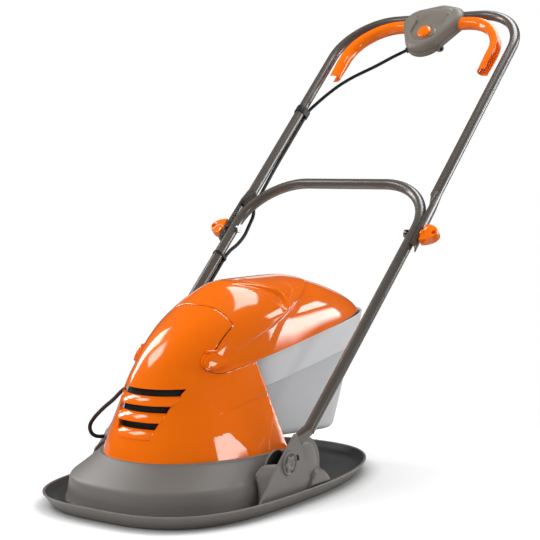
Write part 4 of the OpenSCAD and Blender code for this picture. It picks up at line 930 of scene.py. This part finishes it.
def switch_shell(name, depth, sign, panel):
    insets = [0, 0, 0] + list(np.concatenate([np.linspace(0.3, 3, 6), np.linspace(4, SWITCH_ROUND, 11),
                                              np.linspace(15, 31.2, 24)]))
    heights = [0.0, SWITCH_EDGE * 0.5, SWITCH_EDGE]
    rings = []
    for k, inset in enumerate(insets):
        p = switch_outline(inset)
        lift = 1 - min(inset, SWITCH_ROUND) / SWITCH_ROUND
        y = heights[k] if k < 3 else SWITCH_EDGE + (depth - SWITCH_EDGE) * math.sqrt(1 - lift ** 2)
        y = np.full(len(p), y)
        if panel:
            below = BAR - 14 - p[:, 1]
            from_axis = np.hypot(p[:, 0], np.minimum(p[:, 1] - BUTTON_S - 8, 0))
            sunk = step01((34.0 - from_axis) / 1.5) * step01(below / 1.5)
            brow = step01((below + 22) / 7) * (1 - step01((below + 0.6) / 1.2))
            brow = brow * step01((37 - np.abs(p[:, 0])) / 3)
            boss = step01((22.5 - np.hypot(p[:, 0], p[:, 1] - BUTTON_S)) / 2.0)
            y = y + 3.2 * brow - (4.6 - 2.4 * boss) * sunk
        rings.append(np.stack([p[:, 0], sign * y, p[:, 1]], axis=1))
    n, m = len(rings[0]), len(rings)
    verts = [placed(on_upper(q)) for r in rings for q in r]
    faces = bands(m, n) + [tuple((m - 1) * n + i for i in range(n))]
    obj = new_object(name, verts, faces)
    thick = obj.modifiers.new("wall", "SOLIDIFY")
    thick.thickness = 2.2 * MM
    thick.offset = -1
    face_out(obj)
    smooth(obj, 40)
    return obj


stands_for(switch_shell("switch_front_dome", 17.0, -1, True), "switch_front_shell")
stands_for(switch_shell("switch_rear_dome", 16.0, 1, False), "switch_rear_shell")


def button():
    """Oval cap with a domed top, turned a little in the panel."""
    turn, n = math.radians(20), 48
    rows = [(1.0, 9.0), (1.0, 16.6), (0.97, 18.2), (0.9, 19.4), (0.76, 20.3), (0.55, 20.8), (0.3, 21.0)]
    verts = []
    for share, y in rows:
        for i in range(n):
            t = 2 * math.pi * i / n
            x, s = 14.5 * share * math.cos(t), 17.0 * share * math.sin(t)
            verts.append(placed(on_upper((x * math.cos(turn) - s * math.sin(turn), -y,
                                          BUTTON_S + x * math.sin(turn) + s * math.cos(turn)))))
    caps = [tuple(range(n - 1, -1, -1)), tuple((len(rows) - 1) * n + i for i in range(n))]
    obj = new_object("button_cap", verts, bands(len(rows), n) + caps)
    smooth(obj, 50)
    return obj


stands_for(button(), "lock_button")

# Start levers: a round-nosed channel swept round inside the handle's corner, open towards the tube
LEVER_X, LEVER_S, LEVER_BEND, LEVER_END, LEVER_R = 165.0, BAR - 24, 92.0, BAR - 176, 12.0


def lever_section(share):
    """Points round the channel: distance out of the bend, and across; narrower towards the free end."""
    wall, lip = 2.4, 7.0
    outer = [(lip, LEVER_R)] + [(-LEVER_R * math.cos(math.radians(a)), LEVER_R * math.sin(math.radians(a)))
                                for a in range(90, -91, -10)] + [(lip, -LEVER_R)]
    r = LEVER_R - wall
    inner = [(lip, -r)] + [(-r * math.cos(math.radians(a)), r * math.sin(math.radians(a)))
                           for a in range(-90, 91, 10)] + [(lip, r)]
    return [(u, v * share) for u, v in outer + inner]


def lever(name, side):
    x_bend = LEVER_X - LEVER_BEND
    stations = [((x, LEVER_S), 90.0) for x in np.linspace(32, x_bend, 6)[:-1]]
    stations += [((x_bend + LEVER_BEND * math.sin(math.radians(a)),
                   LEVER_S - LEVER_BEND + LEVER_BEND * math.cos(math.radians(a))), 90.0 - a)
                 for a in np.linspace(0, 90, 31)]
    stations += [((LEVER_X, s), 0.0) for s in np.linspace(LEVER_S - LEVER_BEND, LEVER_END, 12)[1:]]
    verts = []
    total = len(stations)
    for k, ((x, s), facing) in enumerate(stations):
        a = math.radians(facing)
        share = 1 - 0.22 * step01((k - (total - 9)) / 8.0)
        for u, v in lever_section(float(share)):
            verts.append(placed(on_upper((side * (x + u * math.cos(a)), v, s + u * math.sin(a)))))
    n = len(lever_section(1))
    faces = bands(total, n)
    half = n // 2
    for base, flip in ((0, False), ((total - 1) * n, True)):
        for i in range(half - 1):
            f = (base + i, base + i + 1, base + n - 2 - i, base + n - 1 - i)
            faces.append(f[::-1] if flip else f)
    obj = new_object(name, verts, faces)
    face_out(obj)
    rounded(obj, 0.7, 50, 2).harden_normals = False
    return obj


stands_for(lever("lever_right_channel", 1), "lever_right")
stands_for(lever("lever_left_channel", -1), "lever_left")

# Inner lead
LEAD_D = 6.5 * MM
LEAD_SIDE, LEAD_BEHIND = 7.5, 10.6
UPPER_PTS = [(0.145, 8, 520), (0.205, 8, 512), (0.264, 8, 503), (0.327, 7, 491), (0.394, 6, 476.5),
             (0.478, 5.5, 461), (0.571, 5, 446), (0.665, 4.5, 430), (0.75, 4, 411), (0.823, 4, 390),
             (0.889, 5.5, 371), (0.943, 8, 356.5), (0.985, 10, 345), (1, LEAD_BEHIND, 335),
             (1, LEAD_BEHIND, 316), (1, LEAD_BEHIND, 250), (1, 10.8, 180), (1, 13, 120), (1, 15.5, 70)]
FOLD_PTS = [(0.992, 18, 540), (0.982, 20, 516), (0.971, 20.5, 490), (0.977, 17.5, 464), (0.993, 13, 446)]
LOWER_PTS = [(1, LEAD_BEHIND, 430), (1, LEAD_BEHIND, 330), (1, LEAD_BEHIND, 240), (1, 11.5, 178)]
LOOP_PTS = [(-4.2, 190, 172.5), (-2.4, 172, 166), (-2.2, 150, 159.5), (-2.8, 118, 152.5), (-3.4, 87, 144.5),
            (-3.4, 62, 131.5), (-3.4, 39, 121.5), (-3, 19, 111), (-3, 7.5, 102), (-3, 4, 94), (-3, 7, 85.5),
            (-3, 15, 79), (-3, 26, 75.5), (-3, 38, 74)]


def beside_upper(p):
    return placed(on_upper((-p[0] * (UP_X + UP_SPLAY * p[2] - LEAD_SIDE), p[1], p[2])))


def beside_lower(p):
    return placed(on_lower((-p[0] * (LOW_X + LOW_SPLAY * p[2] - LEAD_SIDE), p[1], p[2])))


upper_line = [beside_upper(p) for p in UPPER_PTS]
lower_line = [beside_lower(p) for p in LOWER_PTS]
lead_paths = {
    "lead_upper": upper_line,
    "lead_fold": [upper_line[-1]] + [beside_lower(p) for p in FOLD_PTS] + [lower_line[0]],
    "lead_lower": lower_line,
    "lead_loop": [lower_line[-1]] + [placed((p[0] - PLATE_X, p[1], p[2])) for p in LOOP_PTS],
}
for lead_name, lead_points in lead_paths.items():
    lead_line = catmull(lead_points, 4 * MM)
    sheath = tube(lead_name + "_sheath", lead_line, LEAD_D / 2)
    pieces[lead_name] = sheath
    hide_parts(lead_name)
    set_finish(sheath, slots[lead_name])
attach(pieces["lead_upper"], "upper_frame")
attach(pieces["lead_lower"], "lower_frame")
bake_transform(pieces["lead_fold"], "lower_frame", "upper_frame", start=lead_paths["lead_fold"][-1],
         end=lead_paths["lead_fold"][0])
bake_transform(pieces["lead_loop"], "base", "lower_frame", start=lead_paths["lead_loop"][-4],
         end=lead_paths["lead_loop"][0])


# Finishes
def srgb(r, g, b):
    def lin(c):
        c /= 255.0
        return c / 12.92 if c <= 0.04045 else ((c + 0.055) / 1.055) ** 2.4
    return (lin(r), lin(g), lin(b), 1.0)


def add(tree, kind, **values):
    """New node with values for its inputs; an underscore stands for a space in an input's name."""
    node = tree.nodes.new("ShaderNode" + kind)
    for key, value in values.items():
        node.inputs[key.replace("_", " ")].default_value = value
    return node


def finish(name, color, rough=0.4, spread=0.06, metallic=0.0, grain=900.0, depth=0.15, tint=0.06, coat=0.0,
           coat_rough=0.05, coat_ior=1.5, blotch=9.0, ior=1.5, specular=0.5):
    """Moulded or painted surface: a little unevenness of colour and gloss, and a fine grain in the bump."""
    mat = bpy.data.materials.new(name)
    mat.use_nodes = True
    tree = mat.node_tree
    shader = tree.nodes["Principled BSDF"]
    for key, value in (("Metallic", metallic), ("IOR", ior), ("Specular IOR Level", specular),
                       ("Coat Weight", coat), ("Coat Roughness", coat_rough), ("Coat IOR", coat_ior)):
        shader.inputs[key].default_value = value
    coords = add(tree, "TexCoord")
    wide = add(tree, "TexNoise", Scale=blotch, Detail=4)
    fine = add(tree, "TexNoise", Scale=grain, Detail=3)
    for tex in (wide, fine):
        tree.links.new(coords.outputs["Object"], tex.inputs["Vector"])
    mix = add(tree, "Mix")
    mix.data_type = "RGBA"
    mix.inputs[6].default_value = tuple(c * (1 - tint) for c in color[:3]) + (1,)
    mix.inputs[7].default_value = tuple(min(1, c * (1 + tint)) for c in color[:3]) + (1,)
    tree.links.new(wide.outputs["Fac"], mix.inputs["Factor"])
    tree.links.new(mix.outputs[2], shader.inputs["Base Color"])
    span = add(tree, "MapRange", To_Min=rough - spread, To_Max=rough + spread)
    tree.links.new(wide.outputs["Fac"], span.inputs["Value"])
    tree.links.new(span.outputs["Result"], shader.inputs["Roughness"])
    bump = add(tree, "Bump", Strength=depth, Distance=0.0004)
    tree.links.new(fine.outputs["Fac"], bump.inputs["Height"])
    tree.links.new(bump.outputs["Normal"], shader.inputs["Normal"])
    return mat


FINISHES = {
    "orange_gloss": dict(color=srgb(246, 112, 2), rough=0.3, spread=0.03, grain=300, depth=0.0015, tint=0.02,
                         coat=1.0, coat_rough=0.03, coat_ior=1.6, ior=1.3, specular=0.1),
    "deck_grey": dict(color=srgb(112, 108, 104), rough=0.44, spread=0.04, grain=1400, depth=0.14, tint=0.03),
    "switch_grey": dict(color=srgb(118, 111, 102), rough=0.42, spread=0.05, grain=1600, depth=0.12,
                        tint=0.04),
    "box_grey": dict(color=srgb(212, 213, 215), rough=0.38, spread=0.05, grain=1300, depth=0.06, tint=0.02),
    "tube_paint": dict(color=srgb(82, 75, 69), rough=0.4, spread=0.03, grain=300, depth=0.002, tint=0.03,
                       coat=1.0, coat_rough=0.16),
    "bright_steel": dict(color=srgb(190, 192, 194), rough=0.26, spread=0.08, metallic=1.0, grain=2000,
                         depth=0.06, tint=0.05),
    "laminated_steel": dict(color=srgb(128, 128, 130), rough=0.48, spread=0.08, metallic=1.0, grain=1500,
                            depth=0.2, tint=0.08),
    "zinc_cast": dict(color=srgb(160, 160, 156), rough=0.5, spread=0.08, metallic=1.0, grain=700, depth=0.35,
                      tint=0.06),
    "copper": dict(color=srgb(196, 118, 74), rough=0.3, spread=0.08, metallic=1.0, grain=1800, depth=0.1,
                   tint=0.1),
    "brass": dict(color=srgb(200, 168, 96), rough=0.3, spread=0.06, metallic=1.0, grain=1500, depth=0.1,
                  tint=0.06),
    "black_plastic": dict(color=srgb(30, 30, 30), rough=0.5, spread=0.06, grain=1500, depth=0.18, tint=0.1),
    "black_rubber": dict(color=srgb(26, 26, 27), rough=0.5, spread=0.06, grain=1900, depth=0.14, tint=0.1),
    # painted shade: the tub below its band, a darker copy of box_grey
    "box_painted_shade": dict(color=srgb(192, 193, 195), rough=0.42, spread=0.05, grain=1300, depth=0.06, tint=0.02),
    # painted shade: the tray's inside, dark as the shade in its recess
    "tray_painted_shade": dict(color=srgb(46, 45, 44), rough=0.5, spread=0.05, grain=1400, depth=0.18, tint=0.06),
}
BY_SLOT = {name: finish(name, **look) for name, look in FINISHES.items()}
for node_name, slot_name in slots.items():
    solid = nodes[node_name]
    for k in range(len(solid.material_slots)):
        solid.material_slots[k].material = BY_SLOT[slot_name]
    if node_name in pieces:
        pieces[node_name].data.materials.clear()
        pieces[node_name].data.materials.append(BY_SLOT[pieces[node_name]["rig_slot"]])
# painted shade: the chosen faces of tray, tub and bracket pocket get a darker second material
for node_name, (slot_name, chosen) in painted_shade_faces.items():
    mesh = pieces[node_name].data
    mesh.materials.append(BY_SLOT[slot_name])
    for k in chosen:
        mesh.polygons[k].material_index = 1

# Light, floor and background
world = bpy.data.worlds.new("studio")
scene.world = world
world.use_nodes = True
wt = world.node_tree
wt.nodes.clear()
AMBIENT, MIRRORED = 0.5, 0.05
out = add(wt, "OutputWorld")
bg = add(wt, "Background", Color=(1, 1, 1, 1))
rays = add(wt, "LightPath")
level = add(wt, "MapRange", To_Min=AMBIENT, To_Max=MIRRORED)
wt.links.new(rays.outputs["Is Glossy Ray"], level.inputs["Value"])
shown = add(wt, "Math")
shown.operation = "MAXIMUM"
wt.links.new(rays.outputs["Is Camera Ray"], shown.inputs[0])
wt.links.new(level.outputs["Result"], shown.inputs[1])
wt.links.new(shown.outputs[0], bg.inputs["Strength"])
wt.links.new(bg.outputs[0], out.inputs["Surface"])

FLOOR_R, FLOOR_Z, CLEAR_FROM, CLEAR_TO = 4.0, -0.0005, 0.341, 0.6875
floor_edge = [math.radians(a) for a in range(0, 360, 4)]
floor = new_object("floor", [(FLOOR_R * math.cos(a), FLOOR_R * math.sin(a), FLOOR_Z) for a in floor_edge],
                   [tuple(range(len(floor_edge)))])
floor_mat = bpy.data.materials.new("floor")
floor_mat.use_nodes = True
ft = floor_mat.node_tree
paper = ft.nodes["Principled BSDF"]
# painted contact shadow: ambient occlusion darkens the paper's colour near and under the mower
painted_contact_shadow = add(ft, "AmbientOcclusion", Distance=0.035)
painted_contact_shadow.samples = 8
paper_shade = add(ft, "MapRange", To_Min=0.25, To_Max=0.94)
ft.links.new(painted_contact_shadow.outputs["AO"], paper_shade.inputs["Value"])
ft.links.new(paper_shade.outputs["Result"], paper.inputs["Base Color"])
paper.inputs["Roughness"].default_value = 0.9
paper.inputs["Specular IOR Level"].default_value = 0.1
glow = add(ft, "Emission")
floor_rays = add(ft, "LightPath")
glow_level = add(ft, "MapRange", To_Min=0.3, To_Max=1.0)
ft.links.new(floor_rays.outputs["Is Camera Ray"], glow_level.inputs["Value"])
ft.links.new(glow_level.outputs["Result"], glow.inputs["Strength"])
place = add(ft, "TexCoord")
shape = add(ft, "Mapping", Location=(0, 0.16, 0), Scale=(1.0, 0.8, 0))
ft.links.new(place.outputs["Object"], shape.inputs["Vector"])
away = add(ft, "VectorMath")
away.operation = "LENGTH"
ft.links.new(shape.outputs["Vector"], away.inputs[0])
fade = add(ft, "MapRange", From_Min=CLEAR_FROM, From_Max=CLEAR_TO)
fade.interpolation_type = "SMOOTHSTEP"
ft.links.new(away.outputs["Value"], fade.inputs["Value"])
both = add(ft, "MixShader")
ft.links.new(fade.outputs["Result"], both.inputs["Fac"])
ft.links.new(paper.outputs["BSDF"], both.inputs[1])
ft.links.new(glow.outputs["Emission"], both.inputs[2])
ft.links.new(both.outputs["Shader"], ft.nodes["Material Output"].inputs["Surface"])
floor.data.materials.append(floor_mat)

FOCUS = Vector((0.0, -0.16, 0.2))


def softbox(name, around, up, distance, width, height, power, mirrored=True, fades=(0.12, 0.12, 0.12, 0.12)):
    """Lamp in a direction from the object: degrees round from +X, and degrees up; its edges fade."""
    a, e = math.radians(around), math.radians(up)
    direction = Vector((math.cos(a) * math.cos(e), math.sin(a) * math.cos(e), math.sin(e)))
    data = bpy.data.lights.new(name, "AREA")
    data.shape = "RECTANGLE"
    data.size = width
    data.size_y = height
    data.energy = power
    data.use_nodes = True
    lt = data.node_tree
    spot = add(lt, "NewGeometry")
    parts = add(lt, "SeparateXYZ")
    lt.links.new(spot.outputs["Parametric"], parts.inputs[0])
    level = None
    for k, axis in ((0, "X"), (1, "X"), (2, "Y"), (3, "Y")):
        edge = add(lt, "MapRange", From_Min=k % 2, From_Max=1 - fades[k] if k % 2 else fades[k])
        edge.interpolation_type = "SMOOTHSTEP"
        lt.links.new(parts.outputs[axis], edge.inputs["Value"])
        if level:
            product = add(lt, "Math")
            product.operation = "MULTIPLY"
            lt.links.new(level, product.inputs[0])
            lt.links.new(edge.outputs["Result"], product.inputs[1])
            level = product.outputs[0]
        else:
            level = edge.outputs["Result"]
    lt.links.new(level, lt.nodes["Emission"].inputs["Strength"])
    lamp = bpy.data.objects.new(name, data)
    lamp.location = FOCUS + direction * distance
    lamp.rotation_euler = (FOCUS - lamp.location).to_track_quat("-Z", "Y").to_euler()
    lamp.visible_glossy = mirrored
    scene.collection.objects.link(lamp)


softbox("over", 80, 60, 2.2, 1.5, 0.8, 24)
softbox("right_rear", 55, 10.5, 2.5, 1.0, 0.8, 21, fades=(0.12, 0.12, 0.3, 0.3))
softbox("right_high", 55, 26, 2.5, 1.1, 0.35, 9)
softbox("right", 6.2, 16, 2.34, 0.7, 0.4, 7)
softbox("left_high", 208, 50, 2.24, 0.8, 0.8, 13, fades=(0.3, 0.3, 0.12, 0.3))
softbox("behind", 125, 12, 2.6, 1.8, 0.4, 2)
softbox("left", 180, 30, 2.2, 0.55, 1.7, 22)
softbox("front", -108, 37, 3.0, 2.0, 2.0, 50, mirrored=False)
scene.view_settings.view_transform = "Standard"
